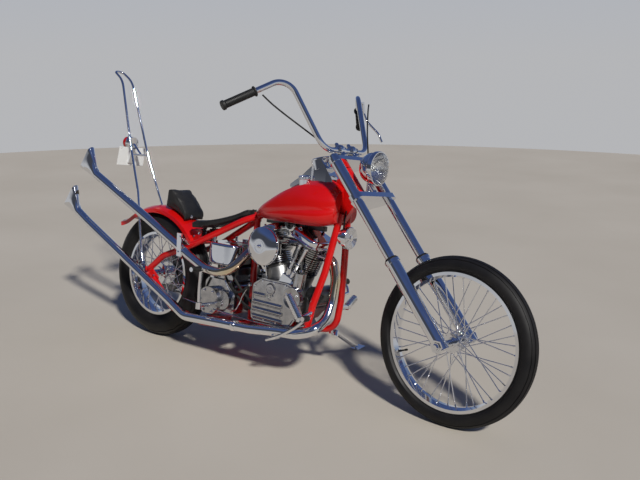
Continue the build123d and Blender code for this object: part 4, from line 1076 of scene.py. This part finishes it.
def make_fork_trim():
    """Nuts on the front axle, risers, legs and stem, and the sliders' seals."""
    rows = []
    for side in (-1, 1):
        out = ACROSS * side
        rows += [(FRONT_AXLE + out * 152.6, out, 18, 15),
                 *((on_fork(RISER_X + 14, side * RISER_Y + shift, BAR_Z), AHEAD_FORK, 4.5, 10)
                   for shift in (19, -19)),
                 (on_fork(RISER_X, side * LEG_Y, 918.5), UP_FORK, 13, 12)]
    rows += [(on_fork(0, 0, 920.5), UP_FORK, 15, 12)]
    make_bolts("fork_nuts", rows, domed=True, body="steering")
    shape = bmesh.new()
    for side in (-1, 1):
        lathe(shape, ((20.7, 0), (31, 0), (31, 3), (27, 8), (24, 12), (20.7, 12)),
              aim(on_fork(RISER_X, side * LEG_Y, 392), UP_FORK), 40, True)
    piece("fork_seals", shape, RUBBER, body="steering")


def make_exhaust_trim():
    """The pipes' bolts, and the soot inside the fishtails."""
    make_bolts("pipe_bolts",
               [((692, -178, 214), -ACROSS, 5, 6), ((306, -183, 575), -ACROSS, 6, 6),
                ((298, -183, 500), -ACROSS, 5, 5)])
    shape = bmesh.new()
    for top, bottom in (((-594, 740), (-675, 618)), ((-472, 962), (-549, 840))):
        top, bottom = Vector((top[0], -156, top[1])), Vector((bottom[0], -156, bottom[1]))
        edge = (top - bottom).normalized()
        inward = Vector((edge.z, 0, -edge.x))
        middle = (top + bottom) / 2
        half = (top - bottom).length / 2
        rings = []
        for depth, share in ((2.5, 0.955), (20, 0.78), (38, 0.6)):
            loop = rounded_rectangle((0, 0), (half * share, 18.4 - depth * 0.07), 15)
            rings.append([shape.verts.new(middle + inward * depth + edge * x + ACROSS * y)
                          for x, y in loop])
            rings[-1].append(rings[-1][0])
        skin(shape, rings, False)
        shape.faces.new(rings[-1][:-1])
    piece("fishtail_soot", shape, SOOT)


# ---------------------------------------------------------------- room, light and camera
FLOOR_R = 9.5
# how far up from the horizon, and the sky's colour there
SKY = ((0.0, (0.46, 0.465, 0.48)), (0.1, (0.43, 0.45, 0.49)), (0.2, (0.20, 0.26, 0.38)),
       (0.4, (0.06, 0.10, 0.24)), (1.0, (0.035, 0.055, 0.14)))
DARK_SIDE = (-0.35, -0.94, 0)                   # what lies there is dark, low in the sky
DARK_COLOUR = (0.05, 0.055, 0.07)
SUN, SUN_ENERGY, SUN_ANGLE, SUN_COLOUR = (0.66, -0.40, 0.64), 3.8, 5, (1.0, 0.975, 0.93)


def make_room():
    """A pale round floor, a sky that is pale at the horizon, and one soft sun."""
    pale = surface("pale_floor", ((0.455, 0.415, 0.35), (0.495, 0.455, 0.39)),
                   rough=(0.85, 0.95), cloud=0.7, grain=60, bump=0.05, Specular_IOR_Level=0.1)
    shape = bmesh.new()
    bmesh.ops.create_circle(shape, cap_ends=True, segments=180, radius=FLOOR_R)
    mesh = bpy.data.meshes.new("floor")
    shape.to_mesh(mesh)
    shape.free()
    mesh.shade_smooth()
    mesh.materials.append(pale)
    floor = bpy.data.objects.new("floor", mesh)
    bpy.context.scene.collection.objects.link(floor)
    make_sky()
    sun = bpy.data.lights.new("sun", "SUN")
    sun.energy, sun.angle, sun.color = SUN_ENERGY, radians(SUN_ANGLE), SUN_COLOUR
    holder = bpy.data.objects.new("sun", sun)
    holder.rotation_euler = Vector(SUN).to_track_quat("Z", "Y").to_euler()
    bpy.context.scene.collection.objects.link(holder)


def make_sky():
    """Pale at the horizon and deep overhead, with a dark band low on one side."""
    world = bpy.context.scene.world or bpy.data.worlds.new("sky")
    bpy.context.scene.world = world
    world.use_nodes = True
    tree = world.node_tree
    place = node(tree, "TexCoord").outputs["Generated"]
    height = node(tree, "SeparateXYZ", Vector=place).outputs["Z"]
    toward = node(tree, "VectorMath", place, DARK_SIDE, operation="DOT_PRODUCT").outputs["Value"]
    share = spread(tree, toward, 0, 1, (-0.1, 0.4))
    for edge in (spread(tree, height, 0, 1, (0.0, 0.11)), spread(tree, height, 1, 0, (0.4, 0.6))):
        share = node(tree, "Math", share, edge, operation="MULTIPLY").outputs["Value"]
    fill(tree, tree.nodes["Background"],
         {"Color": blend(tree, share, ramp(tree, height, SKY), DARK_COLOUR)})


def make_camera():
    """The photograph's own place and angle."""
    azimuth, elevation = radians(37.76), radians(13.43)
    lens = bpy.data.cameras.new("camera")
    lens.sensor_width, lens.lens = 36, 43.43
    camera = bpy.data.objects.new("camera", lens)
    camera.location = (2.401, -2.784, 1.463)
    back = Vector((sin(azimuth) * cos(elevation), -cos(azimuth) * cos(elevation), sin(elevation)))
    camera.rotation_euler = back.to_track_quat("Z", "Y").to_euler()
    bpy.context.scene.collection.objects.link(camera)
    bpy.context.scene.camera = camera
    bpy.context.scene.view_settings.view_transform = "Standard"


make_camera()
dress_nodes()
make_wheels()
make_engine_trim()
make_grips()
make_sleeves()
make_plumbing()
make_battery()
make_coil()
make_headlamp()
make_dial()
make_risers()
make_filler_caps()
make_tail()
make_horn()
make_seat()
make_frame_bolts()
make_fork_trim()
make_exhaust_trim()
make_room()
